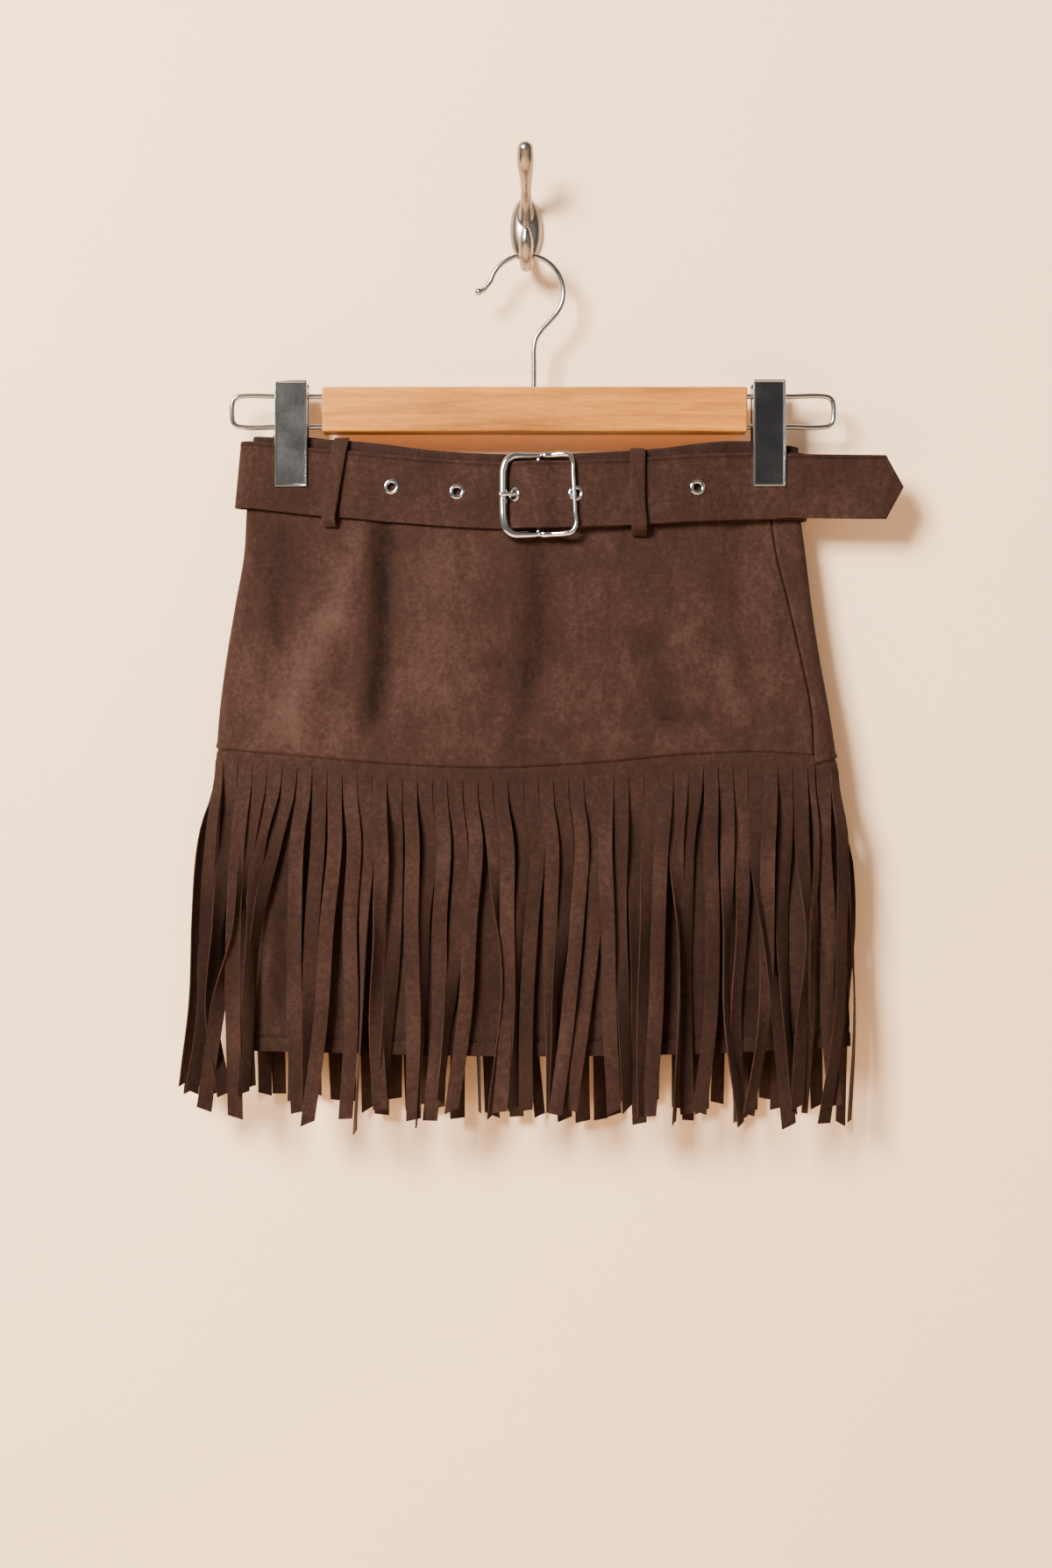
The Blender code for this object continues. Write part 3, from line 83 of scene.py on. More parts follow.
# %% A finish and its nodes
class Finish:
    """One material with its Principled shader, and the way to add nodes to it."""

    def __init__(self, name, **steady):
        self.material = bpy.data.materials.new(name)
        self.material.use_nodes = True
        self.tree = self.material.node_tree
        self.shader = self.tree.nodes["Principled BSDF"]
        for socket, value in steady.items():
            self.shader.inputs[socket.replace("_", " ")].default_value = value

    def node(self, kind, settings=(), sockets=(), output=0):
        made = self.tree.nodes.new(kind)
        for name, value in dict(settings).items():
            if name == "stops":
                ramp = made.color_ramp
                while len(ramp.elements) < len(value):
                    ramp.elements.new(0.5)
                for stop, (place, colour) in zip(ramp.elements, value):
                    stop.position = place
                    stop.color = (*colour, 1.0)
            else:
                setattr(made, name, value)
        for name, value in dict(sockets).items():
            self.feed(made.inputs[name], value)
        return Dial(self, made.outputs[output])

    def feed(self, socket, value):
        if isinstance(value, Dial):
            self.tree.links.new(value.socket, socket)
        else:
            socket.default_value = value

    def maths(self, operation, a, b):
        return self.node("ShaderNodeMath", {"operation": operation}, {0: a, 1: b})

    def place(self, stretch=(1.0, 1.0, 1.0), turn=(0.0, 0.0, 0.0)):
        spot = self.node("ShaderNodeTexCoord", output="Object")
        return self.node(
            "ShaderNodeMapping", {}, {"Vector": spot, "Scale": stretch, "Rotation": turn},
        )

    def noise(self, spot, scale, detail=3.0, roughness=0.5, distortion=0.0):
        sockets = {
            "Vector": spot, "Scale": scale, "Detail": detail,
            "Roughness": roughness, "Distortion": distortion,
        }
        return self.node("ShaderNodeTexNoise", {}, sockets)

    def ramp(self, factor, stops):
        return self.node("ShaderNodeValToRGB", {"stops": stops}, {"Fac": factor})

    def blend(self, factor, a, b):
        settings = {"data_type": "RGBA"}
        return self.node("ShaderNodeMix", settings, {0: factor, 6: a, 7: b}, output=2)

    def bump(self, height, distance, strength=1.0):
        sockets = {"Height": height, "Distance": distance * MM, "Strength": strength}
        self.wear(Normal=self.node("ShaderNodeBump", {}, sockets))

    def wear(self, **sockets):
        for name, value in sockets.items():
            self.feed(self.shader.inputs[name.replace("_", " ")], value)


print("finishes are written as sums")

# %% [markdown]
# ## Suede
# Suede is leather or cloth with a brushed nap. Three things make it read as suede: broad patches where
# the nap lies another way, a finer mottle from handling, and the fibres themselves, which catch light
# at a grazing angle. Noise at three sizes gives the three, and sheen on the shader gives the last.


# %% Make a suede
SUEDE_DARK = (0.0080, 0.0036, 0.0024)
SUEDE_MIDDLE = (0.0270, 0.0127, 0.0091)
SUEDE_LIGHT = (0.0650, 0.0340, 0.0265)


def suede(name, brightness=1.0, patch=1.0, fibre=1.0):
    """A napped suede. patch and fibre say how strong its broad patches and its grain are."""
    finish = Finish(
        name, Roughness=0.92, Specular_IOR_Level=0.08, Sheen_Weight=0.07, Sheen_Roughness=0.45,
        Sheen_Tint=(0.62, 0.44, 0.36, 1.0),
    )
    spot = finish.place()
    slanted = finish.place(stretch=(1.0, 1.0, 0.45), turn=(0.0, 0.7, 0.0))
    broad = finish.noise(spot, 11.0, detail=2.5, distortion=0.6) - 0.5
    brushed = finish.noise(slanted, 75.0, detail=4.0, roughness=0.6, distortion=0.9) - 0.5
    mottle = finish.noise(spot, 330.0, detail=3.0, roughness=0.65) - 0.5
    fibres = finish.noise(spot, 1300.0, detail=2.0, roughness=0.7) - 0.5
    # A per-point attribute adds each piece's random tone and its painted shading: painted shade in fold
    # troughs, stitch grooves, under the belt and towards the fringe's tips, and painted highlights on fold
    # ridges.
    nap = finish.node("ShaderNodeAttribute", {"attribute_name": "nap"}, output="Fac")
    tone = 0.5 + broad * (0.26 * patch) + brushed * (0.42 * patch)
    tone = tone + mottle * (0.50 * fibre) + fibres * (0.35 * fibre) + nap
    shades = [tuple(brightness * c for c in shade) for shade in (SUEDE_DARK, SUEDE_MIDDLE, SUEDE_LIGHT)]
    finish.wear(Base_Color=finish.ramp(tone, list(zip((0.12, 0.5, 0.9), shades))))
    finish.bump(mottle * 0.7 + fibres * 0.5 + brushed * 0.5, distance=0.5 * fibre, strength=0.55)
    return finish.material


# The underskirt and the fringe are the same suede painted darker: painted shade for where they hang behind
# and between other cloth.
YOKE_SUEDE = suede("yoke_suede_nap_and_painted_shading", brightness=0.95)
UNDERSKIRT_SUEDE_PAINTED_SHADE = suede("underskirt_suede_darkened_as_painted_shade", brightness=0.64)
FRINGE_SUEDE_PAINTED_SHADE = suede("fringe_suede_darkened_as_painted_shade", brightness=0.80, patch=0.7)
BELT_SUEDE = suede("belt_suede_nap_and_painted_shading", brightness=0.88, patch=0.75, fibre=1.15)
# The strands' edges are painted lighter than the fringe, a painted highlight where the edges catch light.
EDGE_SUEDE_PAINTED_HIGHLIGHT = suede("strand_edge_painted_highlight", brightness=1.0, patch=0.3)
print("suedes:", YOKE_SUEDE.name, UNDERSKIRT_SUEDE_PAINTED_SHADE.name, FRINGE_SUEDE_PAINTED_SHADE.name, BELT_SUEDE.name)

# %% [markdown]
# ## Thread
# The thread is matched to the suede, a little darker, and spun: a fine twist runs round it.


# %% Make the thread
THREAD_DARK = (0.004, 0.002, 0.0015)
THREAD_LIGHT = (0.012, 0.006, 0.0045)


def make_thread():
    finish = Finish("matched_thread", Roughness=0.7, Specular_IOR_Level=0.3)
    twist = finish.noise(finish.place(turn=(0.0, 0.8, 0.0), stretch=(1.0, 1.0, 3.0)), 1500.0, detail=1.0)
    finish.wear(Base_Color=finish.ramp(twist, [(0.3, THREAD_DARK), (0.7, THREAD_LIGHT)]))
    finish.bump(twist, distance=0.1)
    return finish.material


THREAD = make_thread()
print("thread:", THREAD.name)

# %% [markdown]
# ## Metals
# Four metals show. The buckle, eyelets and clip rims are bright chrome. The hanger wires are drawn
# steel. The clips' faces are a darker polished steel inside a bright rim. The wall hook is satin
# nickel. A mirror finish is dull without small faults, so a faint noise varies the roughness and
# ripples the surface.


# %% Make the metals
METAL_RIPPLE = 0.02


def metal(name, colour, low_roughness, high_roughness, grain=60.0, stretch=(1.0, 1.0, 1.0)):
    """A metal whose roughness wanders between two values, with a slight ripple."""
    finish = Finish(name, Metallic=1.0)
    spot = finish.place(stretch=stretch)
    clouds = finish.noise(spot, grain, detail=3.0, roughness=0.6)
    specks = finish.noise(spot, grain * 30.0, detail=1.0)
    tint = finish.blend(clouds, tuple(0.94 * c for c in colour) + (1.0,), (*colour, 1.0))
    rough = low_roughness + (high_roughness - low_roughness) * (0.6 * clouds + 0.4 * specks)
    finish.wear(Base_Color=tint, Roughness=rough)
    finish.bump(clouds * 0.8 + specks * 0.2, distance=METAL_RIPPLE)
    return finish.material


CHROME = metal("bright_chrome_plate", (0.62, 0.61, 0.60), 0.05, 0.16)
WIRE = metal("drawn_steel_wire", (0.36, 0.35, 0.34), 0.10, 0.24)
CLIP_FACE = metal("dark_polished_steel", (0.125, 0.122, 0.120), 0.10, 0.36, grain=45.0)
NICKEL = metal("satin_nickel_plate", (0.30, 0.262, 0.228), 0.20, 0.34, grain=110.0, stretch=(3.0, 3.0, 0.4))
print("metals:", CHROME.name, WIRE.name, CLIP_FACE.name, NICKEL.name)

# %% [markdown]
# ## Pale wood
# The bar is a straight-grained pale hardwood under a thin clear coat. Growth rings run along it as
# slightly wavy bands, and short fine pores lie along the same way.


# %% Make the wood
WOOD_DARK = (0.19, 0.066, 0.008)
WOOD_MIDDLE = (0.375, 0.142, 0.017)
WOOD_LIGHT = (0.52, 0.222, 0.034)


def make_wood():
    finish = Finish(
        "pale_hardwood", Coat_Weight=0.08, Coat_Roughness=0.3, Specular_IOR_Level=0.2,
    )
    wander = finish.noise(finish.place(stretch=(3.0, 3.0, 9.0)), 2.2, detail=2.0)
    along = finish.place(stretch=(2.2, 12.0, 42.0))
    rings = finish.noise(along, 3.4, detail=4.0, roughness=0.6, distortion=1.3)
    pores = finish.noise(finish.place(stretch=(14.0, 160.0, 220.0)), 9.0, detail=2.0, roughness=0.7)
    tone = 0.5 + (rings - 0.5) * 1.1 + (wander - 0.5) * 0.5 + (pores - 0.5) * 0.45
    finish.wear(
        Base_Color=finish.ramp(tone, list(zip((0.15, 0.5, 0.88), (WOOD_DARK, WOOD_MIDDLE, WOOD_LIGHT)))),
        Roughness=0.34 + pores * 0.2,
    )
    finish.bump(pores * 0.6 + rings * 0.4, distance=0.12)
    return finish.material


WOOD = make_wood()
print("wood:", WOOD.name)

# %% [markdown]
# ## Drawing tools
# Two kinds of shape cover nearly everything here. A sheet is a flat grid whose points are moved to
# their places on the hanging skirt. A rod is a circle pushed along a path, edge loop by edge loop.


# %% Smooth curves through a table
def curve_through(knots, values):
    """A smooth curve through values at rising knots, as a function that also reads arrays."""
    knots, values = np.asarray(knots, float), np.asarray(values, float)
    slopes = np.gradient(values, knots)

    def read(place):
        place = np.clip(place, knots[0], knots[-1])
        i = np.clip(np.searchsorted(knots, place, side="right") - 1, 0, len(knots) - 2)
        width = knots[i + 1] - knots[i]
        t = (place - knots[i]) / width
        first = (2 * t**3 - 3 * t**2 + 1) * values[i] + (t**3 - 2 * t**2 + t) * width * slopes[i]
        return first + (3 * t**2 - 2 * t**3) * values[i + 1] + (t**3 - t**2) * width * slopes[i + 1]

    return read


def ease(share):
    share = np.clip(share, 0.0, 1.0)
    return share * share * (3 - 2 * share)


def mix(a, b, share):
    return a + (b - a) * share


def bell(distance, width):
    return np.exp(-((distance / width) ** 2))


def chance(index, salt=0.0):
    """A fixed number from -1 to 1 for each strand, so that each run is the same."""
    return 2 * ((math.sin(index * 12.9898 + salt * 78.233) * 43758.5453) % 1.0) - 1


def lengths_along(points):
    """The distance from a path's start to each of its points."""
    return np.concatenate([[0.0], np.cumsum(np.linalg.norm(np.diff(points, axis=0), axis=1))])


def run_smooth(points, spacing):
    """The points of a smooth path through the given ones, about that far apart."""
    points = np.asarray(points, float)
    lengths = lengths_along(points[:, :3])
    count = max(2, int(round(lengths[-1] / spacing)))
    at = np.linspace(0.0, lengths[-1], count + 1)
    return np.stack([curve_through(lengths, column)(at) for column in points.T], axis=1)


print("a curve's middle:", float(curve_through([0, 1, 2], [0, 1, 4])(1.5)))


# %% Finish a piece
def new_object(name, data):
    thing = bpy.data.objects.new(name, data)
    bpy.context.scene.collection.objects.link(thing)
    return thing


def finish_piece(name, bm, materials, sharp=45.0):
    """A named object from a mesh drawn in millimetres, riding on the one body."""
    bmesh.ops.scale(bm, vec=(MM, MM, MM), verts=bm.verts)
    mesh = bpy.data.meshes.new(name)
    bm.to_mesh(mesh)
    bm.free()
    for material in materials:
        mesh.materials.append(material)
    mesh.shade_smooth()
    if sharp:
        mesh.set_sharp_from_angle(angle=math.radians(sharp))
    thing = new_object(name, mesh)
    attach(thing, "root")
    return thing


def give_wall(thing, thickness, offset, rim_material=0):
    wall = thing.modifiers.new("wall", "SOLIDIFY")
    wall.thickness = thickness * MM
    wall.offset = offset
    wall.material_offset_rim = rim_material
    return thing


def soften_edges(thing, width, angle=50.0):
    rounding = thing.modifiers.new("edges", "BEVEL")
    rounding.width = width * MM
    rounding.segments = 2
    rounding.limit_method = "ANGLE"
    rounding.angle_limit = math.radians(angle)
    return thing


def make_solid(thing, sharp=None):
    """Makes a piece's modifiers permanent, and keeps edges sharper than an angle crisp."""
    bpy.context.view_layer.update()
    graph = bpy.context.evaluated_depsgraph_get()
    solid = bpy.data.meshes.new_from_object(thing.evaluated_get(graph))
    thing.modifiers.clear()
    thing.data = solid
    solid.shade_smooth()
    if sharp:
        solid.set_sharp_from_angle(angle=math.radians(sharp))
    return thing


def even_shading(thing):
    """Lets large flat faces keep their own direction beside small rounded edges."""
    thing.modifiers.new("even shading", "WEIGHTED_NORMAL").keep_sharp = True


print("pieces ride on body root")


# %% A sheet from a grid
def sheet_mesh(across, down, place, bm=None, nap=None):
    """Adds a grid whose points go to place(across, down), each with its tone and painted shading if that is
    given.
    """
    bm = bm or bmesh.new()
    layer = bm.verts.layers.float.get("nap") or bm.verts.layers.float.new("nap")
    columns, rows = len(across) - 1, len(down) - 1
    made = bmesh.ops.create_grid(bm, x_segments=columns, y_segments=rows, size=1.0)["verts"]
    i = np.array([round((v.co.x + 1) / 2 * columns) for v in made])
    j = np.array([round((1 - v.co.y) / 2 * rows) for v in made])
    places = place(np.asarray(across)[i], np.asarray(down)[j])
    for vert, at in zip(made, places):
        vert.co = at
    if nap:
        for vert, tone in zip(made, nap(places, np.asarray(down)[j])):
            vert[layer] = tone
    return bm


def face_out(bm, outward, probe):
    """Turns all faces round if those near a probe point don't face outward."""
    bm.normal_update()
    probe, outward = Vector(probe), Vector(outward)
    nearest = sorted(bm.faces, key=lambda f: (f.calc_center_median() - probe).length_squared)[:12]
    if sum(f.normal.dot(outward) for f in nearest) < 0:
        bmesh.ops.reverse_faces(bm, faces=bm.faces)


print("sheets are grids")


# %% A rod along a path
def frames_along(points):
    """For each point of a path, two directions square to it that don't twist."""
    points = [Vector(p) for p in points]
    first = (points[1] - points[0]).normalized()
    side = first.orthogonal().normalized()
    found = []
    for index, point in enumerate(points):
        before, after = points[max(index - 1, 0)], points[min(index + 1, len(points) - 1)]
        ahead = (after - before).normalized()
        side = (side - ahead * side.dot(ahead)).normalized()
        found.append((point, side, ahead.cross(side)))
    return found


def push_rod(bm, points, radii, sides=16, closed=False):
    """Pushes a circle along a path with a radius at each point."""
    ring = bmesh.ops.create_circle(bm, cap_ends=False, radius=1.0, segments=sides)["verts"]
    edges = [e for e in bm.edges if e.verts[0] in ring and e.verts[1] in ring]
    order = {vert: index for index, vert in enumerate(ring)}
    first = edges
    for step, ((point, side, up), radius) in enumerate(zip(frames_along(points), radii)):
        if step:
            made = bmesh.ops.extrude_edge_only(bm, edges=edges)["geom"]
            edges = [g for g in made if isinstance(g, bmesh.types.BMEdge) and g.is_boundary]
            fresh = [g for g in made if isinstance(g, bmesh.types.BMVert)]
            found = {}
            for vert in fresh:
                old = next(e.other_vert(vert) for e in vert.link_edges if e.other_vert(vert) in order)
                found[vert] = order[old]
            order = found
        for vert, index in order.items():
            angle = math.tau * index / sides
            vert.co = point + (side * math.cos(angle) + up * math.sin(angle)) * radius
    if closed:
        bmesh.ops.bridge_loops(bm, edges=first + edges)
    else:
        bmesh.ops.holes_fill(bm, edges=first + edges, sides=0)


def round_ended(points, radii, steps=4):
    """Adds shrinking rings at both ends of a path, so that a rod ends in a dome."""
    points = [Vector(p) for p in points]
    head, tail = (points[0] - points[1]).normalized(), (points[-1] - points[-2]).normalized()
    angles = [math.pi / 2 * (step + 1) / (steps + 0.25) for step in range(steps)]
    before = [(points[0] + head * radii[0] * math.sin(a), radii[0] * math.cos(a)) for a in angles][::-1]
    after = [(points[-1] + tail * radii[-1] * math.sin(a), radii[-1] * math.cos(a)) for a in angles]
    path = [p for p, _ in before] + points + [p for p, _ in after]
    return path, [r for _, r in before] + list(radii) + [r for _, r in after]


print("rods are circles pushed along")


# %% A row of stitches
STITCH_SINK = 0.05


def stitch_row(bm, points, outward, length=2.1, thick=0.34, pitch=2.9):
    """Sews short rounded stitches along a path. outward is the cloth's direction out at each point."""
    points, outward = np.asarray(points, float), np.asarray(outward, float)
    lengths = lengths_along(points)
    for at in np.arange(pitch / 2, lengths[-1] - pitch / 2, pitch):
        start, end, middle = (
            Vector([np.interp(at + d, lengths, points[:, a]) for a in range(3)])
            for d in (-length / 2, length / 2, 0.0)
        )
        out = Vector([np.interp(at, lengths, outward[:, a]) for a in range(3)]).normalized()
        along = (end - start).normalized()
        side = along.cross(out).normalized()
        frame_of = Matrix((along * (length / 2), side * thick, out * thick)).transposed().to_4x4()
        matrix = Matrix.Translation(middle - out * STITCH_SINK) @ frame_of
        bmesh.ops.create_uvsphere(bm, u_segments=6, v_segments=4, radius=1.0, matrix=matrix)


print("stitches are small rounded dashes")

# %% [markdown]
# ## The skirt's form
# The skirt hangs nearly flat from two clips, so it is a flat tube: a table gives, at each height,
# where its two side folds are, how thick it is and where the right side seam shows in front. The same
# table shaped the plain solids. Everything that lies on the skirt is drawn from these functions.

# %% The tables of the form
SEAM_GAP = 0.3
Ring = namedtuple("Ring", "z left right middle front back fold seam")
YOKE_RINGS = (
    Ring(-124, -164.0, 164.5, -20.0, 9.5, 8.5, 5.0, 146.0),
    Ring(-172, -168.5, 165.0, -20.5, 13.0, 10.5, 5.5, 147.0),
    Ring(-200, -170.0, 168.5, -21.0, 14.5, 11.0, 6.0, 150.5),
    Ring(-230, -175.0, 172.0, -22.0, 15.5, 11.5, 6.5, 157.5),
    Ring(-264, -180.5, 177.0, -23.0, 16.0, 12.0, 7.5, 165.0),
    Ring(-292, -184.0, 182.0, -24.0, 16.5, 12.5, 8.5, 170.5),
    Ring(-332, -187.0, 188.0, -25.0, 17.0, 13.0, 9.0, 172.5),
)
UNDERSKIRT_RINGS = (
    Ring(-316, -183.5, 183.5, -25.0, 14.7, 10.7, 7.0, 170.0),
    Ring(-345, -181.0, 184.5, -25.2, 15.2, 11.2, 7.5, 171.0),
    Ring(-380, -173.0, 188.0, -25.5, 16.0, 12.0, 7.5, 173.5),
    Ring(-430, -166.0, 191.5, -26.0, 16.5, 12.0, 7.5, 177.0),
    Ring(-470, -165.5, 194.0, -26.0, 16.5, 12.0, 7.5, 179.5),
    Ring(-505, -166.0, 195.0, -26.0, 16.5, 12.0, 7.5, 180.5),
)
Edge = namedtuple("Edge", "x z")
FRONT_WAIST = (
    Edge(-165, -129.5), Edge(-130, -131), Edge(-86, -135), Edge(-55, -139), Edge(-21, -141),
    Edge(20, -141), Edge(70, -138.5), Edge(136, -132.5), Edge(165, -136),
)
BACK_WAIST = (
    Edge(-165, -127.5), Edge(-140, -128.5), Edge(-108, -131.5), Edge(-60, -138), Edge(-21, -142),
    Edge(20, -142), Edge(70, -139), Edge(136, -132.5), Edge(165, -136),
)
FRONT_SEAM = (
    Edge(-187, -318), Edge(-130, -323), Edge(-84, -327), Edge(-27, -329.5), Edge(36, -327),
    Edge(99, -321.5), Edge(142, -320), Edge(172, -321.8),
)
BACK_SEAM = (
    Edge(-187, -318), Edge(-90, -324), Edge(0, -327), Edge(100, -325), Edge(172, -327.4), Edge(188, -323.6),
)
HEM = (Edge(-166, -498.5), Edge(0, -500.5), Edge(100, -499), Edge(195, -495.5))
BELT_MIDDLE = (
    Edge(-174, -152), Edge(-125, -157.5), Edge(-76, -162.6), Edge(-21, -166.4), Edge(52, -164.8),
    Edge(136, -160), Edge(226, -160.8),
)
BACK_BELT_MIDDLE = (Edge(-174, -152), Edge(-110, -157), Edge(0, -165.5), Edge(100, -164.5), Edge(170, -160))
print("rings:", len(YOKE_RINGS), "for the yoke,", len(UNDERSKIRT_RINGS), "for the underskirt")

# %% [markdown]
# The soft folds are lines on the skirt. A trough goes in and a ridge, with a negative depth, comes out.
# Each fades at its two ends. They are placed from the photograph, uneven as real ones are.

# %% The soft folds
Fold = namedtuple("Fold", "x_top z_top x_low z_low depth width")
FRONT_YOKE_FOLDS = (
    Fold(-83, -166, -91, -318, 3.6, 7.5), Fold(-100, -178, -112, -256, -1.9, 10),
    Fold(-110, -228, -152, -320, -2.3, 13), Fold(-149, -174, -145, -264, 1.9, 8),
    Fold(-166, -236, -166, -312, -0.6, 9), Fold(-50, -186, -46, -304, -1.2, 22),
    Fold(6, -184, 4, -300, 2.3, 8), Fold(2, -282, -6, -330, 1.5, 9),
    Fold(34, -212, 28, -318, -0.5, 12), Fold(-94, -266, -42, -275, 0.8, 3.2),
    Fold(-52, -276, -6, -266, 0.8, 3.2), Fold(-88, -272, -8, -274, -0.8, 3.0),
    Fold(74, -240, 84, -308, 1.2, 8), Fold(60, -264, 110, -236, 0.7, 4.5),
    Fold(82, -260, 124, -224, -1.2, 5.5), Fold(115, -258, 131, -306, -1.4, 7),
    Fold(76, -303, 114, -296, 1.0, 5), Fold(26, -318, 68, -308, -1.1, 7),
    Fold(78, -318, 114, -308, -1.0, 6), Fold(142, -186, 147, -292, -0.7, 12),
    Fold(118, -198, 112, -252, 0.6, 8), Fold(-62, -319, -8, -313, -0.5, 6),
    Fold(-140, -318, -84, -312, -0.6, 6),
)
BACK_YOKE_FOLDS = (
    Fold(-74, -182, -80, -308, 2.6, 10), Fold(-110, -190, -122, -305, -1.6, 16),
    Fold(26, -186, 20, -315, 2.3, 12), Fold(52, -200, 50, -312, -1.3, 14),
    Fold(105, -190, 120, -300, 2.2, 11), Fold(134, -196, 150, -290, -1.2, 12),
    Fold(-30, -210, -40, -300, -1.0, 14), Fold(-150, -200, -158, -290, 1.2, 10),
    Fold(-60, -300, 10, -270, 0.7, 8), Fold(60, -260, 130, -276, 0.7, 8),
)
FRONT_UNDERSKIRT_FOLDS = (
    Fold(-158, -350, -162, -495, -2.4, 8), Fold(-148, -345, -146, -490, 2.0, 9),
    Fold(-36, -340, -34, -495, 1.6, 13), Fold(40, -345, 52, -496, -1.4, 15),
    Fold(124, -350, 130, -495, 1.8, 13), Fold(-90, -350, -96, -494, -1.3, 16),
    Fold(88, -350, 84, -492, 1.0, 10), Fold(158, -380, 162, -492, -1.1, 9),
)
BACK_UNDERSKIRT_FOLDS = (
    Fold(-30, -340, -36, -494, 1.8, 13), Fold(90, -340, 98, -494, 1.9, 13),
    Fold(-110, -345, -114, -492, -1.5, 15), Fold(30, -350, 34, -494, -1.4, 15),
    Fold(150, -350, 156, -492, -1.2, 11),
)


def fold_relief(folds, x, z):
    """How far the cloth goes in at x, z."""
    depth = np.zeros(np.broadcast(x, z).shape)
    for fold in folds:
        run = np.array([fold.x_low - fold.x_top, fold.z_low - fold.z_top], float)
        length = np.linalg.norm(run)
        along = ((x - fold.x_top) * run[0] + (z - fold.z_top) * run[1]) / length**2
        off = ((x - fold.x_top) * run[1] - (z - fold.z_top) * run[0]) / length
        wander = 0.25 * fold.width * np.sin(along * 5.0 + fold.x_top)
        ends = ease(along / 0.2) * ease((1 - along) / 0.2)
        depth += fold.depth * bell(off + wander, fold.width) * ends
    return depth


print("folds in front:", len(FRONT_YOKE_FOLDS) + len(FRONT_UNDERSKIRT_FOLDS))


# %% The skin of the skirt
class Tube:
    """A stretch of the skirt: its rings as smooth curves, and the folds of its two faces."""

    def __init__(self, rings, front_folds, back_folds):
        depths = [-r.z for r in rings]
        self.curves = {c: curve_through(depths, [getattr(r, c) for r in rings]) for c in Ring._fields[1:]}
        self.front_folds, self.back_folds = front_folds, back_folds

    def read(self, column, z):
        return self.curves[column](-np.asarray(z, float))

    def centre(self, z):
        return (self.read("left", z) + self.read("right", z)) / 2

    def straight(self, z):
        return (self.read("right", z) - self.read("left", z)) / 2 - self.read("fold", z)

    def flat_share(self, z):
        straight = self.straight(z)
        return straight / (straight + self.read("fold", z) * math.pi / 2)


YOKE = Tube(YOKE_RINGS, FRONT_YOKE_FOLDS, BACK_YOKE_FOLDS)
UNDERSKIRT = Tube(UNDERSKIRT_RINGS, FRONT_UNDERSKIRT_FOLDS, BACK_UNDERSKIRT_FOLDS)
LEFT_CLIP_X, RIGHT_CLIP_X, PINCH_HALF = -141.2, 145.9, 3.6
SEAM_LEVEL = -324.0
GRIP_HALF, GRIP_FADE, GRIP_LOW_Z, GRIP_FADE_DOWN = 13.0, 15.0, -178.0, 65.0


def clip_closeness(x, z):
    """One where a clip holds the cloth flat, falling to nothing around and below."""
    across = np.minimum(abs(x - LEFT_CLIP_X), abs(x - RIGHT_CLIP_X))
    held = bell(np.maximum(0.0, across - GRIP_HALF), GRIP_FADE)
    return held * (1 - ease((GRIP_LOW_Z - z) / GRIP_FADE_DOWN))


def half_depth(tube, x, z, front):
    share = np.minimum(1.0, abs(x - tube.centre(z)) / tube.straight(z))
    fold = tube.read("fold", z)
    half = mix(np.where(front, tube.read("front", z), tube.read("back", z)), fold, share**2.4)
    relief = np.where(front, fold_relief(tube.front_folds, x, z), fold_relief(tube.back_folds, x, z))
    half = half - relief * (1 - share**8) * ease((abs(z - SEAM_LEVEL) + 3) / 16)
    return mix(half, PINCH_HALF, clip_closeness(x, z))


def skin(tube, turn, z):
    """Points of the outer face. turn is -1 at the left fold, 0 in front, 1 at the right fold, 2 behind."""
    turn, z = np.broadcast_arrays((np.asarray(turn, float) + 1) % 4 - 1, np.asarray(z, float))
    front = turn <= 1
    across = np.where(front, turn, 2 - turn)
    straight, fold, flat = tube.straight(z), tube.read("fold", z), tube.flat_share(z)
    angle = np.clip((abs(across) - flat) / (1 - flat), 0.0, 1.0) * math.pi / 2
    reach = np.clip(across / flat, -1.0, 1.0) * straight + np.sign(across) * fold * np.sin(angle)
    x = tube.centre(z) + reach
    depth = half_depth(tube, x, z, front) * np.cos(angle)
    y = tube.read("middle", z) + np.where(front, -depth, depth)
    return np.stack([x, y, z], axis=-1)


def outward_of(tube, turn, z):
    ahead = skin(tube, np.asarray(turn) + 0.004, z) - skin(tube, np.asarray(turn) - 0.004, z)
    out = np.stack([ahead[..., 1], -ahead[..., 0], np.zeros_like(ahead[..., 0])], axis=-1)
    return out / np.linalg.norm(out, axis=-1, keepdims=True)


def off_skin(tube, turn, z, out):
    """Points moved straight out of the skirt's outer face."""
    out = np.asarray(out, float)
    return skin(tube, turn, z) + outward_of(tube, turn, z) * out[..., None]


def turn_at(tube, x, z):
    """The turn at which the front's outer face is at x."""
    straight, fold, flat = tube.straight(z), tube.read("fold", z), tube.flat_share(z)
    reach = x - tube.centre(z)
    angle = np.arcsin(np.clip((abs(reach) - straight) / fold, 0.0, 1.0))
    beyond = np.sign(reach) * (1 - flat) * angle / (math.pi / 2)
    return np.clip(reach / straight, -1.0, 1.0) * flat + beyond


print("front middle at the seam:", np.round(skin(YOKE, 0.0, SEAM_LEVEL), 1))

# %% The two panels of a tube
LEFT_SEAM_TURN, MM_PER_TURN = -1.085, 180.0
PANEL_WIDTH, PANEL_HEIGHT, ACROSS_STEP, DOWN_STEP = 385.0, 190.0, 2.4, 2.8


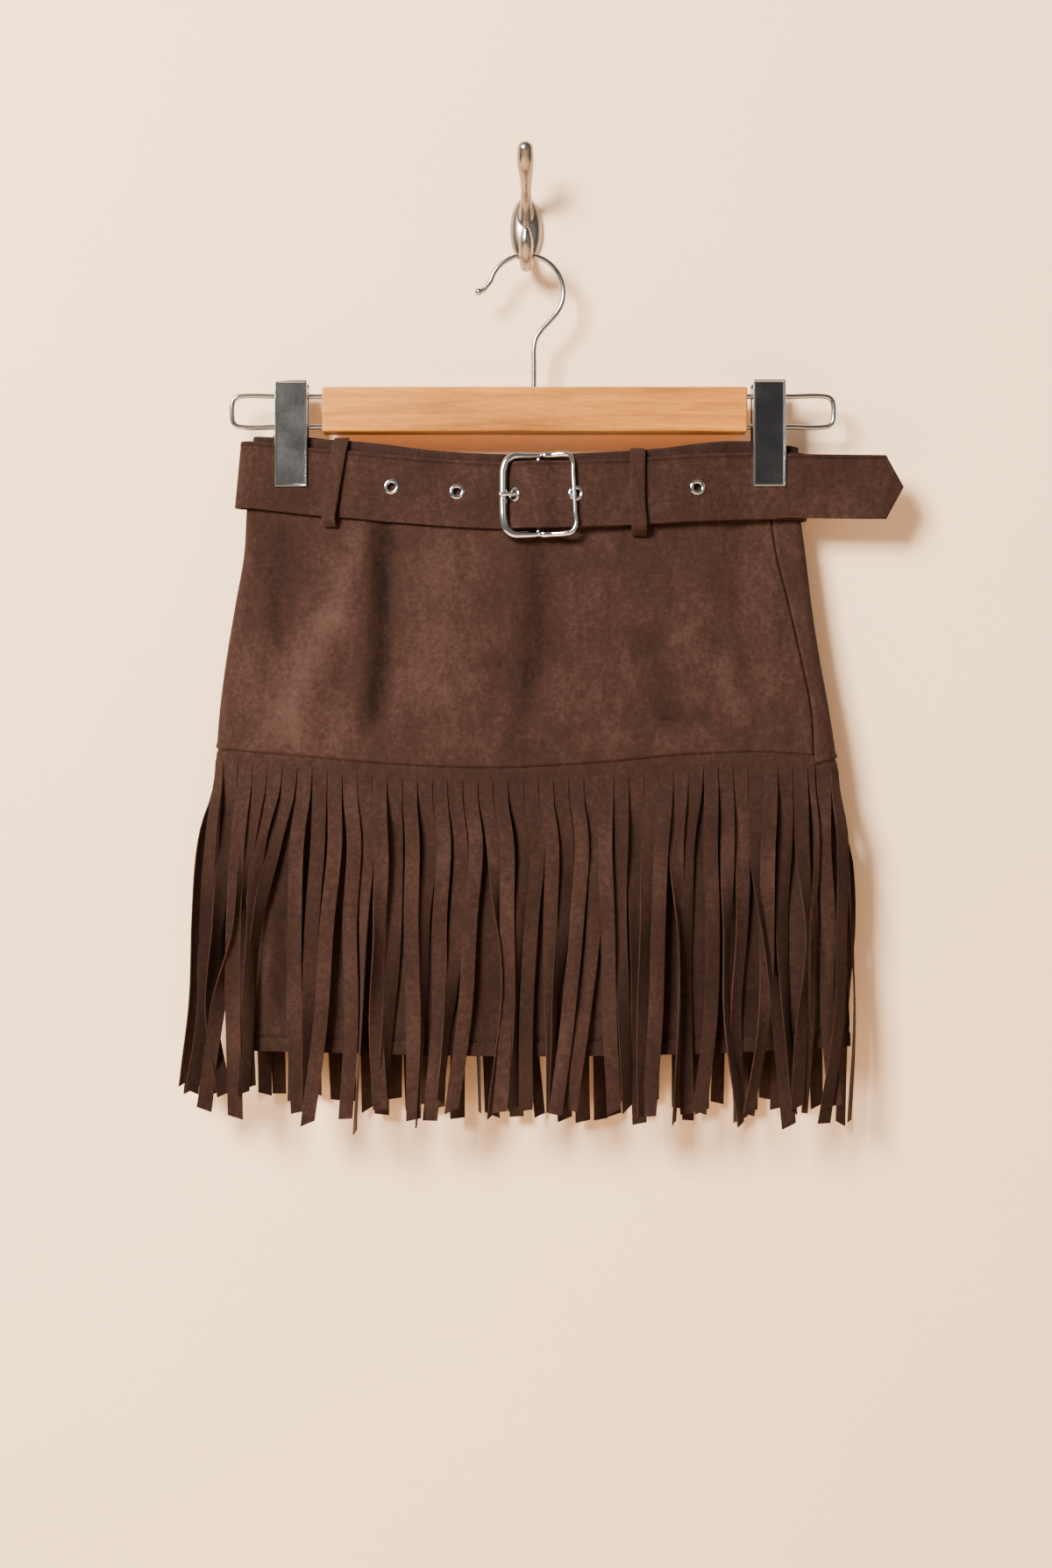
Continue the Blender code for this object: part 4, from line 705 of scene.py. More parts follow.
def panel_turn(tube, front, share, z):
    """The turn of a place across the front or back panel, 0 to 1 from its first seam to its second."""
    seam = turn_at(tube, tube.read("seam", z), z)
    gap = SEAM_GAP / MM_PER_TURN
    if front:
        return mix(LEFT_SEAM_TURN + gap / 2, seam - gap / 2, share)
    return mix(seam + gap / 2, LEFT_SEAM_TURN + 4 - gap / 2, share)


def edge_curve(edge):
    """An edge's height as a smooth curve over x."""
    return curve_through([e.x for e in edge], [e.z for e in edge])


def height_along(edge, front, share):
    """An edge's height at a place across the front or back panel."""
    level = edge[len(edge) // 2].z
    x = skin(YOKE, panel_turn(YOKE, front, share, level), level)[..., 0]
    return edge_curve(edge)(x)


def crowded(total, step, near=(0.0, 0.35, 0.8, 1.4, 2.2, 3.4, 5.0, 7.4, 8.3, 8.8, 9.2, 9.7, 10.6)):
    """Places from 0 to 1 that crowd at both ends, for a length in millimetres."""
    inner = np.linspace(near[-1], total - near[-1], int(round((total - 2 * near[-1]) / step)) + 1)
    return np.concatenate([near[:-1], inner, total - np.array(near[:-1])[::-1]]) / total


print("places down a panel:", len(crowded(PANEL_HEIGHT, DOWN_STEP)))

# %% [markdown]
# ## The yoke
# The yoke is the smooth upper part, a front and a back panel. A seam pulls cloth in: beside each side
# seam the panel dips and puckers a little, and along the fringe seam its turned edge makes a soft roll
# over the strip below. A thin shell on the form carries the folds, and Solidify gives it its wall.


# %% Hang a panel
FOLD_SHADE_PER_DEPTH = 0.085
HEM_STITCH, WAIST_STITCH = 9.0, 1.8
YOKE_WALL, UNDERSKIRT_WALL = 1.6, 1.4


def edge_roll(distance, roll, dip):
    """A turned edge seen from its very edge inwards: it dips at the edge and rolls up behind it."""
    return roll * bell(distance - 2.0, 1.5) - dip * bell(distance, 0.75)


def pucker(along, distance, reach, size):
    return size * bell(distance, reach) * (np.sin(along * 0.52) + 0.6 * np.sin(along * 0.83 + 1.1))


def hang_panel(name, tube, front, top_edge, low_edge, wall, material, shape, hem_stitch_shade=0.0, shaded_top=0.0):
    """A panel of cloth. shape(across, z, from_top, from_low) is how far its face stands out of the form."""

    def place(across, down):
        top, low = height_along(top_edge, front, across), height_along(low_edge, front, across)
        z = mix(top, low, down)
        turn = panel_turn(tube, front, across, z)
        return off_skin(tube, turn, z, shape(across * PANEL_WIDTH, z, top - z, z - low))

    folds = tube.front_folds if front else tube.back_folds
    top_curve, low_curve = edge_curve(top_edge), edge_curve(low_edge)

    # Painted shade and highlight: fold troughs are darkened and ridges lightened by their depth, the hem's
    # stitching line is darkened, and the top is darkened where the belt shades it.
    def nap(places, down):
        x, z = places[:, 0], places[:, 2]
        tone = hem_stitch_shade * bell(z - low_curve(x) - HEM_STITCH, 0.45) - FOLD_SHADE_PER_DEPTH * fold_relief(folds, x, z)
        return tone - shaded_top * bell(top_curve(x) - z - 5.0, 5.0)

    across, down = crowded(PANEL_WIDTH, ACROSS_STEP), crowded(PANEL_HEIGHT, DOWN_STEP)
    bm = sheet_mesh(across, down, place, nap=nap)
    middle_height = (top_edge[4].z + low_edge[1].z) / 2
    face_out(bm, (0, -1 if front else 1, 0), (0, -40 if front else -10, middle_height))
    thing = finish_piece(name, bm, [material], sharp=0)
    give_wall(thing, wall, -1.0)
    return thing


def yoke_shape(across, z, from_top, from_low):
    to_seam = np.minimum(across, PANEL_WIDTH - across)
    out = edge_roll(to_seam, 0.35, 0.8) + pucker(z, to_seam, 9.0, 0.10)
    out = out + edge_roll(from_low, 0.55, 1.0) + pucker(across, from_low, 8.0, 0.10)
    return out - 0.28 * bell(from_top - WAIST_STITCH, 0.5) - 0.3 * bell(from_top, 0.5)


yoke_front = hang_panel(
    "yoke_front", YOKE, True, FRONT_WAIST, FRONT_SEAM, YOKE_WALL, YOKE_SUEDE, yoke_shape, shaded_top=0.12,
)
yoke_back = hang_panel(
    "yoke_back", YOKE, False, BACK_WAIST, BACK_SEAM, YOKE_WALL, YOKE_SUEDE, yoke_shape,
)
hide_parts("skirt_front_yoke")
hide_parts("skirt_back_yoke")
print("yoke faces:", len(yoke_front.data.polygons), len(yoke_back.data.polygons))

# %% [markdown]
# ## The underskirt
# Below the yoke a plain panel hangs behind the fringe. Its hem is turned up 9 mm and stitched, and the
# stitching draws the cloth in a little, so the hem has faint puckers.

# %% Hang the underskirt
UNDER_SEAM = 2 * SEAM_GAP
# Painted shade along the hem's stitched groove.
HEM_STITCH_SHADE = -0.25


def lowered(edge, by):
    return tuple(Edge(e.x, e.z - by) for e in edge)


def underskirt_shape(across, z, from_top, from_low):
    to_seam = np.minimum(across, PANEL_WIDTH - across)
    out = edge_roll(to_seam, 0.3, 0.7) + pucker(z, to_seam, 9.0, 0.12)
    out = out - 0.55 * bell(from_low - HEM_STITCH, 0.9) + 0.25 * ease((HEM_STITCH - from_low) / 2.0)
    return out + pucker(across, from_low - HEM_STITCH, 6.0, 0.22)


under_front = hang_panel(
    "underskirt_front_panel", UNDERSKIRT, True, lowered(FRONT_SEAM, UNDER_SEAM), HEM, UNDERSKIRT_WALL,
    UNDERSKIRT_SUEDE_PAINTED_SHADE, underskirt_shape, hem_stitch_shade=HEM_STITCH_SHADE,
)
under_back = hang_panel(
    "underskirt_back_panel", UNDERSKIRT, False, lowered(BACK_SEAM, UNDER_SEAM), HEM, UNDERSKIRT_WALL,
    UNDERSKIRT_SUEDE_PAINTED_SHADE, underskirt_shape, hem_stitch_shade=HEM_STITCH_SHADE,
)
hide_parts("underskirt_front")
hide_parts("underskirt_back")
print("underskirt faces:", len(under_front.data.polygons), len(under_back.data.polygons))


# %% Stitch the hem and the waist
def sew_panel(name, tube, edges, rise, out):
    """A row of stitches all round the skirt, rise above an edge."""
    bm = bmesh.new()
    for front, edge in zip((True, False), edges):
        share = np.linspace(0.004, 0.996, 260)
        z = height_along(edge, front, share) + rise
        turn = panel_turn(tube, front, share, z)
        stitch_row(bm, off_skin(tube, turn, z, np.full_like(z, out)), outward_of(tube, turn, z))
    return finish_piece(name, bm, [THREAD], sharp=0)


hem_thread = sew_panel("hem_stitching", UNDERSKIRT, (HEM, HEM), HEM_STITCH, -0.35)
waist_thread = sew_panel("waist_stitching", YOKE, (FRONT_WAIST, BACK_WAIST), -WAIST_STITCH, -0.15)
print("stitch faces:", len(hem_thread.data.polygons), len(waist_thread.data.polygons))

# %% [markdown]
# ## The fringe
# Each fringe is one long band of suede, slit into strands that end just under the seam. A slit only
# parts the cloth, so the strands fill the band at the top; lower down each one swings, turns on
# itself and lies over or under its neighbours. The table gives, for each strand, where it hangs at
# three heights and at its tip, which layer it lies in and how far it turns.

# %% The table of strands
STRAND_LEVELS = (-368.0, -420.0, -472.0)
Strand = namedtuple("Strand", "high middle low end end_z layer turn_half turn_low")
FRONT_STRANDS = (
    Strand(-186, -191.5, -196, -202, -524, 0, 20, 10),
    Strand(-193, -198.5, -201, -206, -519, -2, 0, 0),
    Strand(-188, -192, -193, -198.5, -522.5, 1, 30, 65),
    Strand(-179, -184, -187.5, -178.5, -523.5, 0, 55, 40),
    Strand(-170, -172.5, -174, -173, -536.5, 3, 20, 0),
    Strand(-163.5, -171, -183.5, -193, -533.5, 2, 70, 0),
    Strand(-157, -162, -165.5, -168, -522, 1, 55, 40),
    Strand(-148.5, -160, -165, -166.5, -520.5, 0, 50, 40),
    Strand(-136, -138, -137.5, -134, -533.5, 1, 0, 0),
    Strand(-124, -127.5, -128.5, -129, -530.5, 0, 0, 50),
    Strand(-113.5, -117.5, -120.5, -130, -540, 2, 0, 0),
    Strand(-102.5, -104, -103, -107.5, -537, 1, 0, 0),
    Strand(-95, -97, -97.5, -101, -545, 0, -60, -80),
    Strand(-86, -87, -88, -85.5, -531, 2, 45, 20),
    Strand(-77, -78.5, -81.5, -84.5, -531, 0, 0, 55),
    Strand(-67, -68, -67.5, -66.5, -537, 2, 0, 0),
    Strand(-57.5, -61.5, -60, -64, -541.5, 0, 40, 80),
    Strand(-48.5, -50.5, -51.5, -57.5, -538, 1, 0, 0),
    Strand(-39.5, -42, -45, -50, -526.5, 0, 0, 55),
    Strand(-30, -32.5, -35.5, -44.5, -532.5, 1, 0, 0),
    Strand(-20, -16.5, -14, -19.5, -534.5, 0, 80, 60),
    Strand(-11.5, -11.5, -11.5, -15.5, -532.5, 2, 0, 0),
    Strand(-2, -3.5, -5.5, -7.5, -531, 0, 35, 55),
    Strand(6, 3.5, 1, 0, -532, 1, 0, 0),
    Strand(15, 14, 14, 15, -531.5, 1, 0, 40),
    Strand(24, 22.5, 17.5, 14, -530.5, 0, 30, 70),
    Strand(33, 30.5, 25, 16.5, -533.5, 2, 0, 0),
    Strand(40.5, 40.5, 35, 26.5, -531.5, 1, 0, 0),
    Strand(47, 48, 48.5, 51.5, -532.5, 2, 0, 0),
    Strand(56.5, 56, 58, 59.5, -531, 1, 0, 40),
    Strand(65.5, 64.5, 66, 68, -540, 0, 30, 20),
    Strand(72.5, 71, 70, 69, -533.5, 1, 45, 40),
    Strand(81, 78, 76, 72, -535, 2, 0, 0),
    Strand(89.5, 90.5, 90.5, 88, -539, 1, 70, 80),
    Strand(96, 95, 94.5, 96.5, -534.5, 0, 30, 0),
    Strand(109, 111, 110, 102, -533, 2, 0, 0),
    Strand(119.5, 120, 119, 126.5, -539.5, 1, 50, 60),
    Strand(128, 128, 125.5, 127.5, -537.5, 0, 40, 30),
    Strand(137, 141.5, 149, 155, -541.5, 1, 60, 0),
    Strand(144.5, 143, 141, 132, -534.5, 2, 0, 40),
    Strand(155, 152.5, 154, 159, -533.5, 0, 30, 60),
    Strand(164, 166, 164, 161.5, -530.5, 2, 70, 30),
    Strand(172.5, 172, 171, 165.5, -534.5, 1, 60, 20),
)
print("front strands:", len(FRONT_STRANDS))

# %% The strands behind
BACK_STRANDS = (
    Strand(177, 180, 180, 185, -530.5, 0, 0, 0),
    Strand(188, 188.5, 187.5, 176.5, -540.5, 1, 0, 0),
    Strand(192.5, 196.5, 197, 193, -540.5, -2, 0, 0),
    Strand(190, 195, 192, 190, -545, 1, 30, 40),
    Strand(172, 174, 175, 176, -535, 1, 0, 20),
    Strand(162, 163, 163, 163, -531, 0, 0, 0),
    Strand(153, 154, 155, 153, -536, 1, 30, 0),
    Strand(144, 145, 146, 144, -530, 0, 0, 30),
    Strand(134, 136, 137, 136, -538, 1, 0, 0),
    Strand(125, 127, 129, 130, -543, 0, 20, 0),
    Strand(116, 117, 117, 116, -533, 1, 0, 40),
    Strand(107, 108, 108, 107, -538, 0, 0, 0),
    Strand(98, 99, 100, 99, -544, 1, 30, 30),
    Strand(89, 91, 93, 94, -536, 0, 0, 0),
    Strand(79, 79, 78, 77, -533, 1, 0, 0),
    Strand(69, 69, 70, 70, -538, 0, 40, 20),
    Strand(60, 61, 60, 59, -532, 1, 0, 0),
    Strand(51, 52, 53, 53, -540, 0, 0, 30),
    Strand(42, 43, 44, 45, -543, 1, 0, 0),
    Strand(33, 33, 34, 35, -544, 0, 20, 0),
    Strand(23, 23, 22, 23, -543, 1, 0, 0),
    Strand(14, 14, 15, 16, -534, 0, 0, 50),
    Strand(4, 3, 3, 8, -541, 1, 30, 40),
    Strand(-5, -6, -6, -5, -541, 0, 0, 0),
    Strand(-14, -14, -13, -13, -537, 1, 0, 20),
    Strand(-23, -23, -22, -21, -540, 0, 0, 0),
    Strand(-32, -31, -30, -29, -539, 1, 60, 80),
    Strand(-42, -42, -41, -41, -542, 0, 0, 0),
    Strand(-51, -52, -53, -53, -536, 1, 0, 0),
    Strand(-60, -61, -62, -61, -533, 0, 30, 0),
    Strand(-70, -70, -70, -69, -538, 1, 0, 20),
    Strand(-79, -79, -79, -79, -530, 0, 0, 0),
    Strand(-88, -88, -88, -87, -540, 1, 0, 0),
    Strand(-97, -98, -98, -97, -537, 0, 0, 30),
    Strand(-107, -108, -109, -108, -533, 1, 20, 0),
    Strand(-116, -117, -116, -115, -531, 0, 0, 0),
    Strand(-126, -127, -129, -128, -527, 1, 0, 0),
    Strand(-136, -138, -139, -141, -530, 0, 30, 20),
    Strand(-146, -148, -150, -150, -527, 1, 0, 0),
    Strand(-157, -158.5, -159.5, -159, -527, 0, 0, 0),
    Strand(-168, -171, -171, -168.5, -523, 1, 0, 0),
    Strand(-179, -184, -188, -191, -527, 0, 0, 10),
)
print("back strands:", len(BACK_STRANDS))

# %% How one strand hangs
STRIP_SECTION = ((0.0, -1.1), (0.9, -0.75), (2.0, -0.3), (3.6, -0.1), (5.4, -0.15))
SEAM_STRAND_SHARE, PLUMB_ROOT = 0.45, 16.0
LAYER_FIRST, LAYER_STEP, WALL_CLEARANCE = 2.0, 2.6, 1.6
STRAND_WALL, FACING_SHARE = 0.8, 0.5
TURN_STATIONS = (0.0, 0.2, 0.5, 0.8, 1.0)
PLUMB_SHARE, SETTLE_SHARE, SWAY, SWING_DEGREES = 0.15, 0.18, 0.7, 9
WANDER_OUT, TIP_CURL, SLIT_NARROWS, WIDTH_VARIES = 0.9, 4.0, 0.05, 0.05


def surface_depth(x, width, z, in_front):
    """The depth at which a strand hangs clear of the underskirt and plumb from the yoke."""
    found = []
    for tube, level in ((UNDERSKIRT, z), (YOKE, np.full_like(z, YOKE_RINGS[-1].z))):
        left, right = tube.read("left", level), tube.read("right", level)
        for place in (x - width / 2, x, x + width / 2):
            turn = turn_at(tube, np.clip(place, left, right), level)
            found.append(skin(tube, turn if in_front else 2 - turn, level)[..., 1])
    return np.min(found, axis=0) if in_front else np.max(found, axis=0)


def strand_line(strand, index, root, root_angle, width, in_front, share):
    """Middle points, across and outward directions and widths down a strand, for an array of shares."""
    side = 1.0 if in_front else -1.0
    z = mix(root[2], strand.end_z, share)
    levels = [-v for v in (root[2], root[2] - PLUMB_ROOT, *STRAND_LEVELS, strand.end_z)]
    near_root = mix(root[0], strand.high, PLUMB_SHARE)
    x = curve_through(levels, (root[0], near_root, strand.high, strand.middle, strand.low, strand.end))(-z)
    x = x + ease(share / 0.3) * SWAY * np.sin(share * (5 + 2 * chance(index)) + 6 * chance(index, 1))
    turns = (0, 0, strand.turn_half, strand.turn_low, strand.turn_low + 12 * chance(index, 2))
    turn = np.radians(curve_through(TURN_STATIONS, turns)(share))
    swing = math.radians(SWING_DEGREES) * chance(index, 3) * ease(share / 0.4)
    turn = turn + swing * np.sin(share * 7 + index)
    faced = 0.0 if in_front else math.copysign(math.pi, root_angle)
    coming_round = FACING_SHARE * math.sqrt(abs(math.cos(root_angle)))
    settle = ease(share / SETTLE_SHARE)
    facing = mix(root_angle, faced, settle * coming_round) + turn
    out = LAYER_FIRST + LAYER_STEP * strand.layer + width / 2 * abs(np.sin(facing)) * 0.7
    wander = np.sin(share * (9 + 3 * chance(index, 8)) + 3 * chance(index, 9))
    out = out + WANDER_OUT * chance(index, 7) * wander
    out = out + TIP_CURL * max(chance(index, 10), 0.0) * ease((share - 0.8) / 0.2) ** 2
    y = mix(root[1], surface_depth(x, width, z, in_front) - side * out, settle)
    y = np.minimum(y, -WALL_CLEARANCE - width / 2 * abs(np.sin(facing)))
    across = np.stack([np.cos(facing), np.sin(facing), np.zeros_like(z)], axis=-1)
    outward = np.stack([np.sin(facing), -np.cos(facing), np.zeros_like(z)], axis=-1)
    narrowed = 1 - SLIT_NARROWS * ease(share / 0.03)
    widths = width * (narrowed + WIDTH_VARIES * chance(index, 11) * ease((share - 0.3) / 0.5))
    return np.stack([x, y, z], axis=-1), across, outward, widths


print("a strand's wall is", STRAND_WALL, "mm")

# %% Cut the band into strands
STRAND_COLUMNS = np.linspace(0.0, 1.0, 5)
STRAND_ROWS = np.concatenate([[0.012, 0.03, 0.06], np.linspace(0.1, 1.0, 24)])
IN_FRONT_TURN, STRAND_CUP, STRAND_SLANT = 1.03, 0.55, 2.4
TONE_FROM_Z, TONE_RUN, TONE_SPREAD, TWIST_SHADING_DRIFT, SHADE_FALL_TO_TIPS = -327.0, 60.0, 0.10, 0.05, 0.05


def strand_ends(count, front):
    """Where each strand's two edges are across its band. The front's last one is narrow."""
    shares = np.ones(count)
    if front:
        shares[-1] = SEAM_STRAND_SHARE
    ends = np.concatenate([[0.0], np.cumsum(shares)]) / shares.sum()
    return list(zip(ends, ends[1:]))


def hang_fringe(name, strands, front, seam_edge):
    bm = bmesh.new()
    for index, (strand, (start, end)) in enumerate(zip(strands, strand_ends(len(strands), front))):
        share = mix(start, end, STRAND_COLUMNS)
        turn = panel_turn(YOKE, front, share, SEAM_LEVEL)
        top = height_along(seam_edge, front, share) + 0.5
        strip = [off_skin(YOKE, turn, top - drop, out) for drop, out in STRIP_SECTION]
        root = strip[-1].mean(axis=0)
        span = strip[-1][-1] - strip[-1][0]
        angle = math.atan2(span[1], span[0])
        if not front and angle < 0:
            angle += 2 * math.pi
        width = float(np.linalg.norm(span))
        in_front = abs((float(turn[2]) + 1) % 4 - 1) < IN_FRONT_TURN
        seed = index + (0 if front else 100)
        middle, across, outward, widths = strand_line(
            strand, seed, root, angle, width, in_front, STRAND_ROWS,
        )
        cup = STRAND_CUP * chance(seed, 4) * ease(STRAND_ROWS / 0.3)
        slant = STRAND_SLANT * chance(seed, 5)
        rows = list(strip)
        for row in range(len(STRAND_ROWS)):
            place = STRAND_COLUMNS - 0.5
            at = middle[row] + np.outer(place * widths[row], across[row])
            at = at + np.outer(cup[row] * (1 - (2 * place) ** 2), outward[row])
            at[:, 2] += slant * place * ease((STRAND_ROWS[row] - 0.9) / 0.1) * 2
            rows.append(at)
        cloth = np.array(rows)

        def put(column, row, cloth=cloth):
            return cloth[row.astype(int), column.astype(int)]

        # Each strand gets its own random tone, painted light and shade in slow bands along it where it
        # twists, and painted shade that darkens it towards its tip.
        def nap(places, down, seed=seed):
            z = places[:, 2]
            along = np.clip((TONE_FROM_Z - z) / TONE_RUN, 0.0, 1.0)
            drift = TWIST_SHADING_DRIFT * np.sin(z / (14 + 4 * chance(seed, 12)) + 3 * chance(seed, 13))
            return along * (TONE_SPREAD * chance(seed, 6) + drift - SHADE_FALL_TO_TIPS * ease(down / len(rows)))

        sheet_mesh(np.arange(len(STRAND_COLUMNS)), np.arange(len(rows)), put, bm, nap)
    bmesh.ops.remove_doubles(bm, verts=bm.verts, dist=0.02)
    face_out(bm, (0, -1 if front else 1, 0), (0, -42 if front else -12, SEAM_LEVEL - 8))
    # The rim gets the lighter edge suede, a painted highlight on the strands' edges.
    thing = finish_piece(name, bm, [FRINGE_SUEDE_PAINTED_SHADE, EDGE_SUEDE_PAINTED_HIGHLIGHT], sharp=0)
    return make_solid(give_wall(thing, STRAND_WALL, -1.0, rim_material=1), sharp=50)


fringe_front = hang_fringe("front_fringe_strands", FRONT_STRANDS, True, FRONT_SEAM)
fringe_back = hang_fringe("back_fringe_strands", BACK_STRANDS, False, BACK_SEAM)
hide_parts("fringe_front")
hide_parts("fringe_back")
print("fringe faces:", len(fringe_front.data.polygons), len(fringe_back.data.polygons))

# %% [markdown]
# ## The belt
# The belt is a long strap of suede with a row of stitches along its top edge. It folds round the
# buckle's centre bar, runs round the skirt, comes through the buckle from the left and lies over its
# own first layer as far as its pointed tip. A table says how far off the skirt it runs near the
# buckle; elsewhere it lies just off the yoke.

# %% The belt's path
STRAP_WIDTH, STRAP_WALL, STRAP_OFF, SECOND_LAYER_OFF = 40.0, 1.9, 1.8, 4.4
CENTRE_BAR_X, CENTRE_BAR_OFF, CENTRE_BAR_RADIUS, BELT_Z = 6.8, 4.1, 1.4, -160.0
TIP_X, TIP_SHOULDER_X, FREE_FROM_X = 226.5, 216.0, 146.0
Station = namedtuple("Station", "x out")
FOLD_RADIUS = CENTRE_BAR_RADIUS + 0.3 + 0.8
FINE_STEPS, ROUND_ROWS, FOLD_CROWDING, FOLD_TURN = 4001, 60, 7, 0.04
TURNED_UNDER = (Station(36, 1.4), Station(28, 1.4), Station(20, 1.4), Station(13, 1.4))
BUCKLE_RUN = (Station(13, 5.2), Station(20, 3.6), Station(28, 3.5), Station(36, 3.3), Station(44, 1.9))
FREE_RUN = (
    Station(-30, 1.7), Station(-20, 1.6), Station(-14, 1.5), Station(-10.5, 2.0), Station(-8.5, 3.6),
    Station(-6.2, 6.0), Station(-3.5, 8.0), Station(0.5, 8.9), Station(6.8, 9.0), Station(12, 8.3),
    Station(17, 6.6), Station(22, 5.7), Station(28, 5.5), Station(36, 5.4), Station(44, 4.9),
)
belt_front_height, belt_back_height = edge_curve(BELT_MIDDLE), edge_curve(BACK_BELT_MIDDLE)


def belt_middle(turn):
    x = skin(YOKE, turn, BELT_Z)[..., 0]
    behind = (np.asarray(turn) + 1) % 4 - 1 > 1
    return np.where(behind, belt_back_height(x), belt_front_height(x))


def belt_point(turn, out, drop=0.5):
    """Points off the skirt under the belt. drop is 0 at the strap's top edge and 1 at its lower edge."""
    middle, drop = belt_middle(turn), np.asarray(drop, float)
    top = off_skin(YOKE, turn, middle + STRAP_WIDTH / 2, out)
    low = off_skin(YOKE, turn, middle - STRAP_WIDTH / 2, out)
    return mix(top, low, drop[..., None] if drop.ndim else drop)


def front_turn(x):
    return turn_at(YOKE, x, BELT_Z)


def round_the_skirt(start, end):
    """Turns from start to end, crowded where the strap bends round the two side folds."""
    fine = np.linspace(start, end, FINE_STEPS)
    density = 1 + FOLD_CROWDING * bell(fine - 1, FOLD_TURN) + FOLD_CROWDING * bell(fine - 3, FOLD_TURN)
    total = np.concatenate([[0], np.cumsum((density[1:] + density[:-1]) / 2)])
    return np.interp(np.linspace(0, 1, ROUND_ROWS) * total[-1], total, fine)


def strap_stations():
    """(turn, out) along the strap, from its end turned under at the buckle to where it leaves the skirt."""
    path = [(front_turn(s.x), s.out) for s in TURNED_UNDER]
    for step in range(7):
        angle = math.radians(-90 - 30 * step)
        x = CENTRE_BAR_X + FOLD_RADIUS * math.cos(angle)
        path.append((front_turn(x), CENTRE_BAR_OFF + FOLD_RADIUS * math.sin(angle)))
    path += [(front_turn(s.x), s.out) for s in BUCKLE_RUN]
    for turn in round_the_skirt(front_turn(52.0), front_turn(-38.0) + 4):
        path.append((turn, STRAP_OFF + 4.5 * bell(turn - 3.0, 0.03) + 1.0 * bell(turn - 1.0, 0.03)))
    path += [(front_turn(s.x) + 4, s.out) for s in FREE_RUN]
    path += [(front_turn(x) + 4, SECOND_LAYER_OFF) for x in np.linspace(54.0, FREE_FROM_X, 8)]
    return np.array(path)


stations = strap_stations()
print("belt stations:", len(stations))


# %% The belt's two edges
FREE_END_X, CURL_FROM_X, CURL_RUN, FREE_CURL, LOW_CURL_SHARE = 156.0, 150, 22.0, 0.6, 0.4
FREE_NARROWS, STRAP_ROW_STEP = 0.8, 2.2


def strap_edges():
    """The strap's top and lower edge as smooth runs of points."""
    turn, out = stations[:, 0], stations[:, 1]
    top, low = (belt_point(turn, out, np.full_like(turn, drop)) for drop in (0.0, 1.0))
    last_top, last_low = top[-1], low[-1]
    level, middle = BELT_MIDDLE[-1].z, (last_top[2] + last_low[2]) / 2
    for x in np.linspace(FREE_END_X, TIP_SHOULDER_X, 7):
        height = mix(middle, level, (x - FREE_FROM_X) / (TIP_X - FREE_FROM_X))
        curl = FREE_CURL * math.sin((x - CURL_FROM_X) / CURL_RUN)
        top_z, low_z = height + STRAP_WIDTH / 2 - FREE_NARROWS, height - STRAP_WIDTH / 2 + FREE_NARROWS
        top = np.vstack([top, (x, last_top[1] + curl, top_z)])
        low = np.vstack([low, (x, last_low[1] + curl * LOW_CURL_SHARE, low_z)])
    both = run_smooth(np.hstack([(top + low) / 2, top, low]), STRAP_ROW_STEP)
    return both[:, 3:6], both[:, 6:9]


strap_top, strap_low = strap_edges()

# %% Make the belt
STRAP_DROPS = np.array([
    0.0, 0.012, 0.03, 0.042, 0.05, 0.058, 0.075, 0.12, 0.3, 0.5, 0.7, 0.88, 0.95, 0.985, 1.0,
])


def strap_outward():
    """The direction out of the strap at each row."""
    middle = (strap_top + strap_low) / 2
    along = np.gradient(middle, axis=0)
    out = np.cross(strap_top - strap_low, along)
    return out / np.linalg.norm(out, axis=1, keepdims=True)


strap_out = strap_outward()
STRAP_STITCH = 2.0


def strap_tone_and_stitch_shade(places, drop):
    """Painted shade darkens the belt along its stitching groove; its tone also drifts slowly along its
    length.
    """
    drift = 0.05 * np.sin(places[:, 0] / 13.0) * np.sin(places[:, 0] / 37.0 + drop * 3)
    return drift - 0.22 * bell(drop * STRAP_WIDTH - STRAP_STITCH, 0.4)


def strap_place(row, drop):
    """A point of the strap's middle sheet, with its point drawn out at the tip and its edges eased in."""
    row = row.astype(int)
    at = mix(strap_top[row], strap_low[row], drop[:, None])
    is_tip = row == len(strap_top) - 1
    at[:, 0] += np.where(is_tip, (TIP_X - TIP_SHOULDER_X) * (1 - abs(2 * drop - 1)), 0.0)
    wave = 0.18 * np.sin(row * 0.35) + 0.12 * np.sin(row * 0.83 + 2)
    seam = -0.30 * bell(drop * STRAP_WIDTH - STRAP_STITCH, 0.45)
    return at + strap_out[row] * (wave * (0.3 + abs(2 * drop - 1)) * 0.6 + seam)[:, None]


def make_belt():
    bm = sheet_mesh(np.arange(len(strap_top)), STRAP_DROPS, strap_place, nap=strap_tone_and_stitch_shade)
    face_out(bm, (0, -1, 0), (-100, -36, -160))
    thing = finish_piece("suede_belt", bm, [BELT_SUEDE, BELT_SUEDE], sharp=0)
    give_wall(thing, STRAP_WALL, 0.0, rim_material=1)
    return soften_edges(thing, 0.55)


belt = make_belt()
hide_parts("belt_strap")
print("belt faces:", len(belt.data.polygons))


# %% Sew the belt's top edge
def belt_row(drop_mm, face):
    """A path along the strap, drop_mm below its top edge, on its outer face."""
    share = drop_mm / STRAP_WIDTH
    return mix(strap_top, strap_low, share) + strap_out * face


def sew_belt():
    bm = bmesh.new()
    stitch_row(bm, belt_row(STRAP_STITCH, STRAP_WALL / 2 - 0.25), strap_out, length=1.9, pitch=2.6)
    return finish_piece("belt_stitching", bm, [THREAD], sharp=0)


belt_thread = sew_belt()
print("belt stitch faces:", len(belt_thread.data.polygons))

